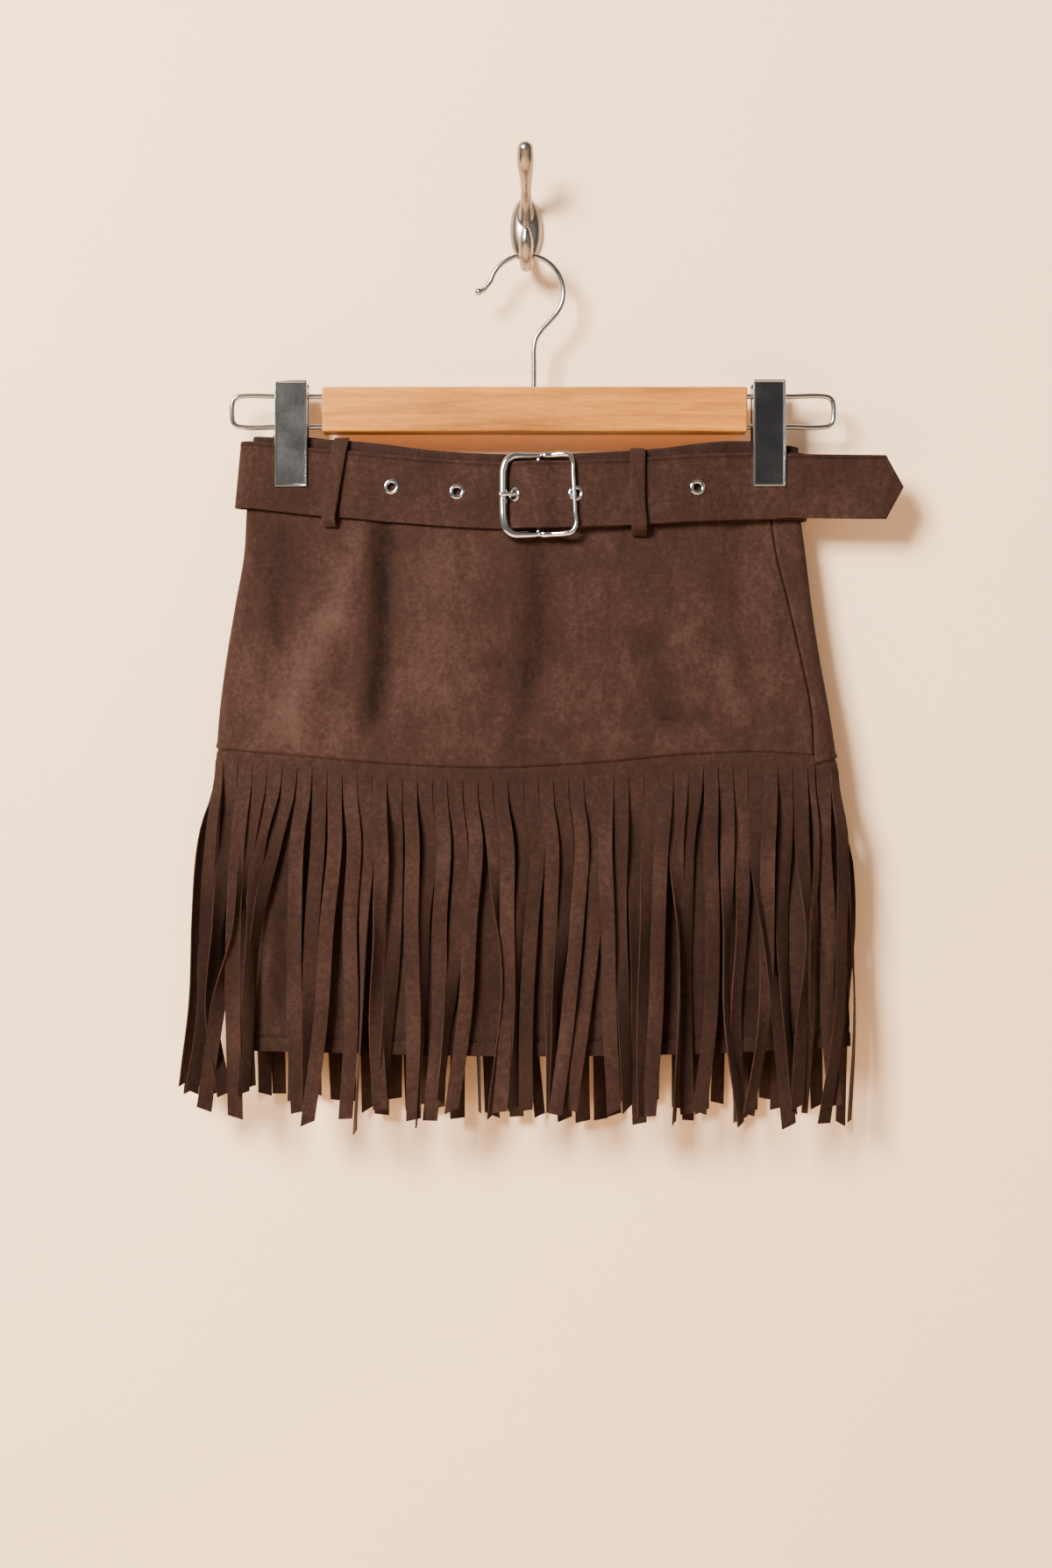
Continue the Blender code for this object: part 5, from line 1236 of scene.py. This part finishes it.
# %% [markdown]
# ## Eyelets
# An eyelet is a short tube rolled over into a ring on the outside. Its section is drawn once and spun
# round. The holes are cut through the belt by six short cutters, and the cut is then made permanent.

# %% Places on the belt
Eyelet = namedtuple("Eyelet", "name x drop")
EYELETS = (
    Eyelet("left_outer", -80.4, 0.475), Eyelet("left_inner", -41.3, 0.475), Eyelet("prong", -6.4, 0.5),
    Eyelet("right_bar", 29.6, 0.5), Eyelet("under_loop", 66.0, 0.5), Eyelet("right_outer", 102.2, 0.5),
)


def on_belt(x, drop=0.5):
    """A frame on the free end's outer run at x: along the strap, up and out."""
    rows = np.arange(len(strap_top) // 2, len(strap_top))
    middle = mix(strap_top, strap_low, drop)[rows]
    row = rows[int(np.argmin(abs(middle[:, 0] - x)))]
    exact = [float(np.interp(x, middle[:, 0], middle[:, a])) for a in range(3)]
    out = Vector(strap_out[row]) if strap_out[row][1] < 0 else -Vector(strap_out[row])
    up = Vector(strap_top[row] - strap_low[row]).normalized()
    along = up.cross(out).normalized()
    turn = Matrix((along, out.cross(along), out)).transposed().to_4x4()
    return Matrix.Translation(exact) @ turn


print("the prong's eyelet is at", [round(v, 1) for v in on_belt(-6.4).translation])


# %% Spin the eyelets
EYELET_BORE, EYELET_TUBE, EYELET_LIP, EYELET_RIM = 2.3, 2.75, 3.45, 4.55


def make_eyelet(eyelet):
    face = STRAP_WALL / 2
    lip = [
        (EYELET_LIP + 1.15 * math.cos(a), face + 0.15 + 0.85 * math.sin(a))
        for a in np.linspace(-0.15, math.pi, 9)
    ]
    profile = [
        (EYELET_RIM, face - 0.1), *lip[1:-1], (EYELET_BORE, face + 0.1), (EYELET_BORE, -face),
        (EYELET_TUBE, -face), (EYELET_TUBE, face - 0.1),
    ]
    bm = bmesh.new()
    ring = [bm.verts.new((r, 0.0, z)) for r, z in profile]
    loop = [bm.edges.new((a, b)) for a, b in zip(ring, ring[1:] + ring[:1])]
    bmesh.ops.spin(
        bm, geom=ring + loop, cent=(0, 0, 0), axis=(0, 0, 1), angle=math.tau, steps=36, use_merge=True,
    )
    bmesh.ops.remove_doubles(bm, verts=bm.verts, dist=1e-3)
    bmesh.ops.recalc_face_normals(bm, faces=bm.faces)
    bmesh.ops.transform(bm, matrix=on_belt(eyelet.x, eyelet.drop), verts=bm.verts)
    ring_piece = finish_piece(f"eyelet_ring_{eyelet.name}", bm, [CHROME], sharp=60)
    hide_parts(f"eyelet_{eyelet.name}")
    return ring_piece


eyelet_rings = [make_eyelet(e) for e in EYELETS]
print("eyelets:", len(eyelet_rings))


# %% Punch the holes
def punch(thing, places, radius, depth):
    cutters = []
    for place in places:
        bm = bmesh.new()
        bmesh.ops.create_cone(
            bm, cap_ends=True, segments=32, radius1=radius, radius2=radius, depth=depth, matrix=place,
        )
        cutter = finish_piece("punch", bm, [EDGE_SUEDE_PAINTED_HIGHLIGHT])
        cut = thing.modifiers.new("hole", "BOOLEAN")
        cut.operation, cut.solver, cut.object = "DIFFERENCE", "EXACT", cutter
        cutters.append(cutter)
    make_solid(thing, sharp=50)
    for cutter in cutters:
        bpy.data.objects.remove(cutter)


PUNCH_RADIUS, PUNCH_DEPTH = 2.55, 3.2
punch(belt, [on_belt(e.x, e.drop) for e in EYELETS], PUNCH_RADIUS, PUNCH_DEPTH)
print("belt faces with holes:", len(belt.data.polygons))

# %% [markdown]
# ## Belt loops
# A loop is a narrow strip sewn down above and below the belt. The front ones stand out over the
# belt's layers; the left one has turned a little at its lower end. A row of stitches follows each edge.


# %% Make the belt loops
LOOP_WALL = 1.5
BeltLoop = namedtuple("BeltLoop", "name node x front width layers_off top_z low_z lean twist")
BELT_LOOPS = (
    BeltLoop("front_left_belt_loop", "belt_loop_front_left", -112.5, True, 9.6, 2.8,
             -131.4, -184.5, -3.4, 1.6),
    BeltLoop("front_right_belt_loop", "belt_loop_front_right", 66.0, True, 9.6, 5.4,
             -138.2, -190.5, 0.0, 0.0),
    BeltLoop("back_left_belt_loop", "belt_loop_back_left", -75.0, False, 9.4, 2.8,
             -136.5, -186.0, 0.0, 0.0),
    BeltLoop("back_right_belt_loop", "belt_loop_back_right", 85.0, False, 9.4, 2.8,
             -139.0, -190.5, 0.0, 0.0),
)


def make_loop(name, node, x, front, width, layers_off, top_z, low_z, lean, twist):
    """A loop and its stitching. It rises over the belt's layers between its two sewn ends."""
    turn = float(front_turn(x)) if front else 2 - float(front_turn(x))
    middle = float(belt_middle(np.array([turn]))[0])
    rise = layers_off + 0.9
    over = [middle + d for d in (21.5, 15.0, 0.0, -15.0, -21.5)]
    course = curve_through(
        [-z for z in (top_z, *over, low_z)],
        [0.9, rise, rise + 0.6, rise + 1.1, rise + 1.4, rise + 1.1, 1.1],
    )

    def place(across, down):
        z = mix(top_z, low_z, down)
        low_part = ease((down - 0.62) / 0.38)
        shift = (across - 0.5) * width + lean * down
        crown = 0.35 * (1 - (2 * across - 1) ** 4)
        out = course(-z) + crown + twist * low_part * (across - 0.5) * 2
        return off_skin(YOKE, turn + shift / MM_PER_TURN, z, out)

    bm = sheet_mesh(np.linspace(0, 1, 9), np.linspace(0, 1, 34), place)
    face_out(bm, (0, -1 if front else 1, 0), skin(YOKE, turn, middle))
    strip = finish_piece(name, bm, [BELT_SUEDE, BELT_SUEDE], sharp=0)
    give_wall(strip, LOOP_WALL, 0.0, rim_material=1)
    soften_edges(strip, 0.4)
    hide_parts(node)
    down = np.linspace(0.02, 0.98, 60)
    sewing = bmesh.new()
    for across in (0.15, 0.85):
        at = place(np.full_like(down, across), down)
        out = outward_of(YOKE, np.full_like(down, turn), mix(top_z, low_z, down))
        stitch_row(sewing, at + out * (LOOP_WALL / 2), out, length=1.7, pitch=2.4, thick=0.2)
    thread = finish_piece(name + "_stitching", sewing, [THREAD], sharp=0)
    return strip, thread


loop_pieces = [piece for belt_loop in BELT_LOOPS for piece in make_loop(*belt_loop)]
print("loop pieces:", len(loop_pieces))

# %% [markdown]
# ## The buckle
# The buckle is a bent bar: thick and rounded at the left, thinner at the right, with the ends of the
# wrapped bar showing as small joints in the top and bottom. The prong turns on the centre bar and
# rests on the thick side. Each is a circle pushed along a smooth path with a radius at each point.

# %% Bend the frame
Bend = namedtuple("Bend", "x out drop radius")
FRAME_BENDS = (
    Bend(6.8, 4.4, -0.085, 1.9), Bend(1.0, 4.6, -0.085, 2.1), Bend(-4.0, 4.8, -0.088, 2.25),
    Bend(-8.6, 5.0, -0.08, 2.4), Bend(-12.2, 5.1, -0.01, 2.45), Bend(-14.0, 5.2, 0.12, 2.5),
    Bend(-14.3, 5.2, 0.32, 2.5), Bend(-14.2, 5.2, 0.5, 2.5), Bend(-14.0, 5.2, 0.70, 2.5),
    Bend(-13.5, 5.2, 0.88, 2.5), Bend(-11.6, 5.1, 1.02, 2.45), Bend(-7.8, 5.0, 1.09, 2.4),
    Bend(-3.0, 4.8, 1.097, 2.3), Bend(2.5, 4.6, 1.095, 2.1), Bend(5.4, 4.5, 1.095, 1.85),
    Bend(7.2, 4.4, 1.095, 1.5), Bend(8.6, 4.6, 1.095, 2.1), Bend(15.0, 5.4, 1.098, 2.0),
    Bend(22.0, 7.4, 1.1, 1.9), Bend(26.4, 8.3, 1.08, 1.7), Bend(28.6, 8.7, 1.0, 1.4),
    Bend(28.4, 8.8, 0.8, 1.35), Bend(27.9, 8.8, 0.5, 1.35), Bend(27.3, 8.7, 0.2, 1.35),
    Bend(26.9, 8.6, 0.03, 1.4), Bend(25.2, 8.2, -0.07, 1.7), Bend(21.0, 7.2, -0.095, 1.95),
    Bend(15.0, 5.4, -0.088, 2.05), Bend(9.6, 4.6, -0.085, 2.1), Bend(8.2, 4.4, -0.085, 1.5),
)


def buckle_place(x, out, drop):
    return belt_point(np.array([float(front_turn(x))]), np.array([out]), np.array([drop]))[0]


def make_buckle():
    points = np.array([[*buckle_place(b.x, b.out, b.drop), b.radius] for b in FRAME_BENDS])
    doubled = np.vstack([points[-4:], points, points[:5]])
    path = run_smooth(doubled, 0.7)
    lengths = lengths_along(doubled[:, :3])
    step = lengths[-1] / (len(path) - 1)
    first, last = int(round(lengths[4] / step)), int(round(lengths[4 + len(points)] / step))
    path = path[first:last]
    bm = bmesh.new()
    push_rod(bm, path[:, :3], path[:, 3], sides=20, closed=True)
    bar = [buckle_place(CENTRE_BAR_X, CENTRE_BAR_OFF, drop) for drop in np.linspace(-0.08, 1.09, 14)]
    push_rod(bm, bar, [CENTRE_BAR_RADIUS] * len(bar), sides=14)
    bmesh.ops.recalc_face_normals(bm, faces=bm.faces)
    thing = finish_piece("buckle_frame_and_bar", bm, [CHROME], sharp=50)
    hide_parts("buckle_frame")
    return thing


buckle = make_buckle()
print("buckle faces:", len(buckle.data.polygons))

# %% Make the prong
PRONG = (
    Bend(9.6, 4.1, 0.5, 1.0), Bend(9.2, 2.4, 0.5, 1.0), Bend(6.8, 1.6, 0.5, 1.0),
    Bend(4.4, 2.4, 0.5, 1.05), Bend(3.4, 4.1, 0.5, 1.1), Bend(0.0, 4.6, 0.5, 1.1),
    Bend(-3.5, 5.2, 0.5, 1.15), Bend(-6.4, 6.4, 0.5, 1.15), Bend(-9.0, 8.4, 0.5, 1.2),
    Bend(-12.0, 9.3, 0.5, 1.3), Bend(-15.4, 9.2, 0.5, 1.35),
)


def make_prong():
    points = np.array([[*buckle_place(b.x, b.out, b.drop), b.radius] for b in PRONG])
    path = run_smooth(points, 0.6)
    bm = bmesh.new()
    places, radii = round_ended(path[:, :3], list(path[:, 3]))
    push_rod(bm, places, radii, sides=16)
    bmesh.ops.recalc_face_normals(bm, faces=bm.faces)
    thing = finish_piece("buckle_tongue", bm, [CHROME], sharp=0)
    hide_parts("buckle_prong")
    return thing


prong = make_prong()
print("prong faces:", len(prong.data.polygons))

# %% [markdown]
# ## The hanger
# A pale wooden bar holds a plated wire hook and, at each end, a long wire loop. A spring clip slides
# on each loop. The bar is a cube stretched to size with its edges rounded over.

# %% Make the bar
HANGER_Y, WIRE_RADIUS = -20.0, 1.55
BAR_LEFT, BAR_RIGHT, BAR_TOP, BAR_BOTTOM, BAR_DEPTH = -122.5, 133.0, -100.1, -127.2, 15.0


def block(low, high):
    bm = bmesh.new()
    bmesh.ops.create_cube(bm, size=1.0)
    bmesh.ops.scale(bm, vec=[b - a for a, b in zip(low, high)], verts=bm.verts)
    bmesh.ops.translate(bm, vec=[(a + b) / 2 for a, b in zip(low, high)], verts=bm.verts)
    return bm


def make_bar():
    bm = block(
        (BAR_LEFT, HANGER_Y - BAR_DEPTH / 2, BAR_BOTTOM), (BAR_RIGHT, HANGER_Y + BAR_DEPTH / 2, BAR_TOP),
    )
    bmesh.ops.bevel(
        bm, geom=bm.edges[:], offset=1.3, segments=4, profile=0.5, affect="EDGES", material=-1,
    )
    thing = finish_piece("wooden_hanger_bar", bm, [WOOD], sharp=0)
    even_shading(thing)
    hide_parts("hanger_bar")
    return thing


bar = make_bar()
print("bar faces:", len(bar.data.polygons))

# %% Bend the hook
SHAFT_X, HOOK_RADIUS, HOOK_CENTRE_Z = 4.8, 22.6, -42.1
HOOK_TIP = ((-28.6, -41.7), (-26.4, -41.0), (-23.6, -38.2))
HOOK_NECK = (
    (18.6, -54.4), (13.8, -60.0), (9.0, -65.2), (5.9, -70.2), (SHAFT_X, -76.0), (SHAFT_X, -84.0),
    (SHAFT_X, -95.0),
)
TIP_BALL_RADIUS = 2.35


def make_hanger_hook():
    course = list(HOOK_TIP)
    for step in range(14):
        angle = math.radians(164 - 184 * step / 13)
        course.append((HOOK_RADIUS * math.cos(angle), HOOK_CENTRE_Z + HOOK_RADIUS * math.sin(angle)))
    course += [*HOOK_NECK, (SHAFT_X, BAR_TOP - 8.0)]
    points = [(x, HANGER_Y, z) for x, z in course]
    path = run_smooth(points, 1.1)
    bm = bmesh.new()
    push_rod(bm, path, [WIRE_RADIUS] * len(path), sides=16)
    ball = Matrix.Translation(points[0])
    bmesh.ops.create_uvsphere(bm, u_segments=20, v_segments=12, radius=TIP_BALL_RADIUS, matrix=ball)
    collar = Matrix.Translation((SHAFT_X, HANGER_Y, BAR_TOP + 0.3))
    bmesh.ops.create_cone(
        bm, cap_ends=True, segments=24, radius1=2.6, radius2=2.1, depth=0.9, matrix=collar,
    )
    bmesh.ops.recalc_face_normals(bm, faces=bm.faces)
    thing = finish_piece("wire_hanger_hook", bm, [WIRE], sharp=40)
    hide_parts("hanger_hook")
    return thing


hanger_hook = make_hanger_hook()
print("hook faces:", len(hanger_hook.data.polygons))

# %% Bend the wire loops
LOOP_LEFT, LOOP_RIGHT, LOOP_TOP, LOOP_BOTTOM, LOOP_CORNER = -177.2, 185.5, -104.9, -123.3, 5.0
LOOP_IN_BAR = 9.0


def make_wire_loop(name, node, side_x, bar_x):
    inward = 1 if bar_x > side_x else -1
    in_bar, halfway = bar_x + inward * LOOP_IN_BAR, mix(bar_x, side_x, 0.5)
    points = [(in_bar, HANGER_Y, LOOP_TOP), (halfway, HANGER_Y, LOOP_TOP)]
    for middle_z, start in ((LOOP_TOP - LOOP_CORNER, 90), (LOOP_BOTTOM + LOOP_CORNER, 180)):
        for step in range(7):
            angle = math.radians(start + 90 * step / 6)
            reach = LOOP_CORNER + LOOP_CORNER * math.cos(angle)
            points.append((side_x + inward * reach, HANGER_Y, middle_z + LOOP_CORNER * math.sin(angle)))
    points += [(halfway, HANGER_Y, LOOP_BOTTOM), (in_bar, HANGER_Y, LOOP_BOTTOM)]
    bm = bmesh.new()
    path = run_smooth(points, 0.9)
    push_rod(bm, path, [WIRE_RADIUS] * len(path), sides=16)
    bmesh.ops.recalc_face_normals(bm, faces=bm.faces)
    thing = finish_piece(name, bm, [WIRE], sharp=50)
    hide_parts(node)


make_wire_loop("left_wire_loop", "hanger_loop_left", LOOP_LEFT, BAR_LEFT)
make_wire_loop("right_wire_loop", "hanger_loop_right", LOOP_RIGHT, BAR_RIGHT)
print("wire loops at", LOOP_LEFT, LOOP_RIGHT)

# %% [markdown]
# ## The clips
# A clip is two pressed plates with a raised rim, hinged on a pin with a coil spring between the wires.
# Each plate is a flat block whose shown face is inset three times, up, along and down, which leaves
# the rim standing; the inner face gets the darker polished steel.

# %% Make the clips
CLIP_WIDTH, CLIP_HEIGHT, CLIP_PLATE, CLIP_TOP = 19.4, 63.8, 1.2, -96.4
BARREL_Z = (LOOP_TOP + LOOP_BOTTOM) / 2
CLIP_STACK, FRONT_EAR_X, BACK_EAR_X, EAR_HALF = 6.7, 8.7, 7.2, 0.5
RIM_RISE, RIM_WIDTH, FACE_SINK = 0.22, 0.75, 0.55


def make_plate(name, node, x, face, outward, ear_x):
    half = CLIP_WIDTH / 2
    bm = block(
        (x - half, min(face, face + outward * CLIP_PLATE), CLIP_TOP - CLIP_HEIGHT),
        (x + half, max(face, face + outward * CLIP_PLATE), CLIP_TOP),
    )
    upright = [e for e in bm.edges if abs(e.verts[0].co.y - e.verts[1].co.y) > 0.5]
    bm.normal_update()
    shown = [f for f in bm.faces if f.normal.y * outward > 0.9]
    for thickness, depth in ((0.25, RIM_RISE), (RIM_WIDTH, 0.0), (0.35, -FACE_SINK)):
        bmesh.ops.inset_region(bm, faces=shown, thickness=thickness, depth=depth, use_even_offset=True)
    for face_shown in shown:
        face_shown.material_index = 1
    bmesh.ops.bevel(bm, geom=upright, offset=0.7, segments=3, profile=0.5, affect="EDGES", material=-1)
    reach = (face + outward * 0.4, HANGER_Y - outward * 2.6)
    ear_half = (LOOP_TOP - LOOP_BOTTOM) / 2 - WIRE_RADIUS - 0.35
    for ear_side in (-1, 1):
        middle = x + ear_side * ear_x
        ear = block(
            (middle - EAR_HALF, min(reach), BARREL_Z - ear_half),
            (middle + EAR_HALF, max(reach), BARREL_Z + ear_half),
        )
        part = bpy.data.meshes.new("ear")
        ear.to_mesh(part)
        ear.free()
        bm.from_mesh(part)
        bpy.data.meshes.remove(part)
    thing = finish_piece(name, bm, [CHROME, CLIP_FACE], sharp=30)
    even_shading(soften_edges(thing, 0.12, angle=40))
    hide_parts(node)


COIL_TURNS, COIL_STEPS, COIL_RADIUS, COIL_LENGTH, COIL_WIRE = 7, 20, 2.4, 8.4, 0.5
PIN_RADIUS, PIN_HALF = 1.2, 9.3


def make_spring(name, node, x):
    """A coil round a pin, between the two plates."""
    bm = bmesh.new()
    coil = []
    for step in range(COIL_TURNS * COIL_STEPS + 1):
        angle = math.tau * step / COIL_STEPS
        along = x + COIL_LENGTH * (step / (COIL_TURNS * COIL_STEPS) - 0.5)
        y, z = HANGER_Y + COIL_RADIUS * math.cos(angle), BARREL_Z + COIL_RADIUS * math.sin(angle)
        coil.append((along, y, z))
    push_rod(bm, coil, [COIL_WIRE] * len(coil), sides=8)
    pin = [(x + d, HANGER_Y, BARREL_Z) for d in (-PIN_HALF, -5.0, 0.0, 5.0, PIN_HALF)]
    push_rod(bm, pin, [PIN_RADIUS] * len(pin), sides=14)
    bmesh.ops.recalc_face_normals(bm, faces=bm.faces)
    thing = finish_piece(name, bm, [CHROME], sharp=50)
    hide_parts(node)


SECOND_LAYER = SECOND_LAYER_OFF - STRAP_OFF
for side_name, x, second in (("left", LEFT_CLIP_X, 0.0), ("right", RIGHT_CLIP_X, SECOND_LAYER)):
    front_face, back_face = HANGER_Y - CLIP_STACK - second, HANGER_Y + CLIP_STACK
    make_plate(f"{side_name}_clip_front_plate", f"clip_{side_name}_front", x, front_face, -1, FRONT_EAR_X)
    make_plate(f"{side_name}_clip_back_plate", f"clip_{side_name}_back", x, back_face, 1, BACK_EAR_X)
    make_spring(f"{side_name}_clip_coil", f"clip_{side_name}_spring", x)
    print(side_name, "clip at", x)

# %% [markdown]
# ## The wall hook
# A cast hook: an oval back plate, an upper arm that ends in a drop-shaped knob and a lower arm that
# curls up to a small ball. Casting rounds every inner corner, so the parts are drawn through each
# other, remade as one skin of small cells and smoothed.

# %% Cast the wall hook
PLATE_HALVES = (10.0, 7.3, 20.6)
UPPER_ARM = (
    (0, -4, 4), (0, -9, 14), (0, -17, 21), (0, -27, 27), (-0.4, -34.6, 34.0), (-0.4, -37.6, 39.6),
)
UPPER_RADII = (4.6, 3.7, 3.3, 4.2, 5.3, 4.9)
LOWER_ARM = (
    (0, -3.4, -9.5), (0, -8, -19), (0, -19, -25.4), (0, -29, -22.5), (0, -34.6, -14), (0, -35.8, -8.6),
)
LOWER_RADII = (3.4, 3.6, 4.0, 4.1, 4.1, 2.6)


def make_wall_hook():
    bm = bmesh.new()
    plate = Matrix.Diagonal((*PLATE_HALVES, 1.0)) @ Matrix.Rotation(math.pi / 2, 4, "X")
    bmesh.ops.create_uvsphere(bm, u_segments=40, v_segments=24, radius=1.0, matrix=plate)
    cutting = bmesh.ops.bisect_plane(
        bm, geom=bm.verts[:] + bm.edges[:] + bm.faces[:], plane_co=(0, 0, 0), plane_no=(0, 1, 0),
        clear_outer=True,
    )
    rim = [e for e in cutting["geom_cut"] if isinstance(e, bmesh.types.BMEdge)]
    bmesh.ops.contextual_create(bm, geom=rim)
    for points, radii in ((UPPER_ARM, UPPER_RADII), (LOWER_ARM, LOWER_RADII)):
        path = run_smooth(np.hstack([np.array(points, float), np.array(radii)[:, None]]), 1.0)
        places, thick = round_ended(path[:, :3], list(path[:, 3]), steps=6)
        push_rod(bm, places, thick, sides=24)
    bmesh.ops.recalc_face_normals(bm, faces=bm.faces)
    thing = finish_piece("cast_wall_hook", bm, [NICKEL], sharp=0)
    skin_over = thing.modifiers.new("one skin", "REMESH")
    skin_over.mode, skin_over.voxel_size = "VOXEL", 0.55 * MM
    calm = thing.modifiers.new("rounded corners", "SMOOTH")
    calm.factor, calm.iterations = 0.5, 14
    make_solid(thing)
    flat = bmesh.new()
    flat.from_mesh(thing.data)
    for vert in flat.verts:
        vert.co.y = min(vert.co.y, 0.0)
    flat.to_mesh(thing.data)
    flat.free()
    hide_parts("wall_hook")
    return thing


wall_hook = make_wall_hook()
print("wall hook faces:", len(wall_hook.data.polygons))

# %% [markdown]
# ## The cloth pieces
# This cell only prints how many cloth pieces there are.

# %% Print the number of cloth pieces
print("cloth pieces: 5")

# %% [markdown]
# ## The room
# A pale wall runs down into a floor through a wide curve. The wall is one-sided: seen from behind it
# lets the view through, so the back of the skirt can be looked at too.


# %% Make the wall and floor
WALL_DARK, WALL_LIGHT = (0.905, 0.650, 0.430), (0.920, 0.670, 0.450)
WALL_Y, WALL_TOP, CURVE_Z, WALL_CURVE, FLOOR_FRONT, ROOM_HALF = 0.0004, 1.6, -1.1, 0.4, -3.6, 2.6


def make_room():
    finish = Finish("pale_painted_wall", Roughness=0.85, Specular_IOR_Level=0.2)
    clouds = finish.noise(finish.place(), 3.0, detail=2.0)
    grain = finish.noise(finish.place(), 160.0, detail=3.0)
    finish.wear(Base_Color=finish.ramp(clouds, [(0.25, WALL_DARK), (0.75, WALL_LIGHT)]))
    finish.bump(grain, distance=0.25, strength=0.35)
    seen = finish.node("ShaderNodeNewGeometry", output="Backfacing")
    clear = finish.node("ShaderNodeBsdfTransparent")
    solid = Dial(finish, finish.shader.outputs[0])
    either = finish.node("ShaderNodeMixShader", {}, {0: seen, 1: solid, 2: clear})
    output = finish.tree.nodes["Material Output"]
    finish.tree.links.new(either.socket, output.inputs["Surface"])
    section = [(WALL_Y, WALL_TOP), (WALL_Y, CURVE_Z)]
    section += [
        (WALL_CURVE * (math.cos(a) - 1) + WALL_Y * math.cos(a), CURVE_Z - WALL_CURVE * math.sin(a))
        for a in np.linspace(0.1, math.pi / 2, 12)
    ]
    section += [(FLOOR_FRONT, CURVE_Z - WALL_CURVE)]
    bm = bmesh.new()
    dots = [bm.verts.new((-ROOM_HALF, y, z)) for y, z in section]
    line = [bm.edges.new((a, b)) for a, b in zip(dots, dots[1:])]
    moved = bmesh.ops.extrude_edge_only(bm, edges=line)["geom"]
    fresh = [g for g in moved if isinstance(g, bmesh.types.BMVert)]
    bmesh.ops.translate(bm, vec=(2 * ROOM_HALF, 0, 0), verts=fresh)
    bm.normal_update()
    if sum(f.normal.y for f in bm.faces) > 0:
        bmesh.ops.reverse_faces(bm, faces=bm.faces)
    mesh = bpy.data.meshes.new("wall_and_floor")
    bm.to_mesh(mesh)
    bm.free()
    mesh.materials.append(finish.material)
    mesh.shade_smooth()
    room = new_object("wall_and_floor", mesh)
    room.visible_shadow = False


make_room()
print("wall and floor are up")

# %% [markdown]
# ## Light and camera
# One large soft lamp stands in front, high on the left, so that shadows fall softly to the lower
# right on the wall. A weak one from the right keeps the dark suede readable. A third stands behind
# the one-sided wall, which casts no shadow, and lights only the back of the skirt.


# %% Hang the lamps
Lamp = namedtuple("Lamp", "name at size power colour")
LAMPS = (
    Lamp("key", (-1.45, -2.2, 1.0), 0.95, 350.0, (1.0, 0.94, 0.865)),
    Lamp("fill", (1.9, -2.3, 0.0), 1.8, 5.0, (0.96, 0.98, 1.0)),
    Lamp("back", (0.5, 1.8, 0.5), 1.2, 115.0, (1.0, 0.97, 0.93)),
)
AIM = (0.0, -0.02, -0.33)
WORLD_COLOUR, WORLD_STRENGTH = (0.93, 0.96, 1.0, 1.0), 0.20

for lamp in LAMPS:
    data = bpy.data.lights.new(lamp.name, "AREA")
    data.shape, data.size, data.energy, data.color = "SQUARE", lamp.size, lamp.power, lamp.colour
    thing = new_object(lamp.name, data)
    thing.location = lamp.at
    thing.rotation_euler = (Vector(AIM) - Vector(lamp.at)).to_track_quat("-Z", "Y").to_euler()
world = bpy.data.worlds.new("soft_room")
world.use_nodes = True
backdrop = world.node_tree.nodes["Background"]
backdrop.inputs["Color"].default_value = WORLD_COLOUR
backdrop.inputs["Strength"].default_value = WORLD_STRENGTH
bpy.context.scene.world = world
print("lamps: key, fill and back")

# %% Place the camera
CAMERA_LENS, CAMERA_DISTANCE, CAMERA_HEIGHT = 52.3, -1.395, -0.3388
camera_data = bpy.data.cameras.new("camera")
camera_data.lens, camera_data.sensor_width = CAMERA_LENS, 36.0
camera = new_object("camera", camera_data)
camera.location = (0.0, CAMERA_DISTANCE, CAMERA_HEIGHT)
camera.rotation_euler = (math.pi / 2, 0.0, 0.0)
bpy.context.scene.camera = camera
print("camera", camera.location[:])
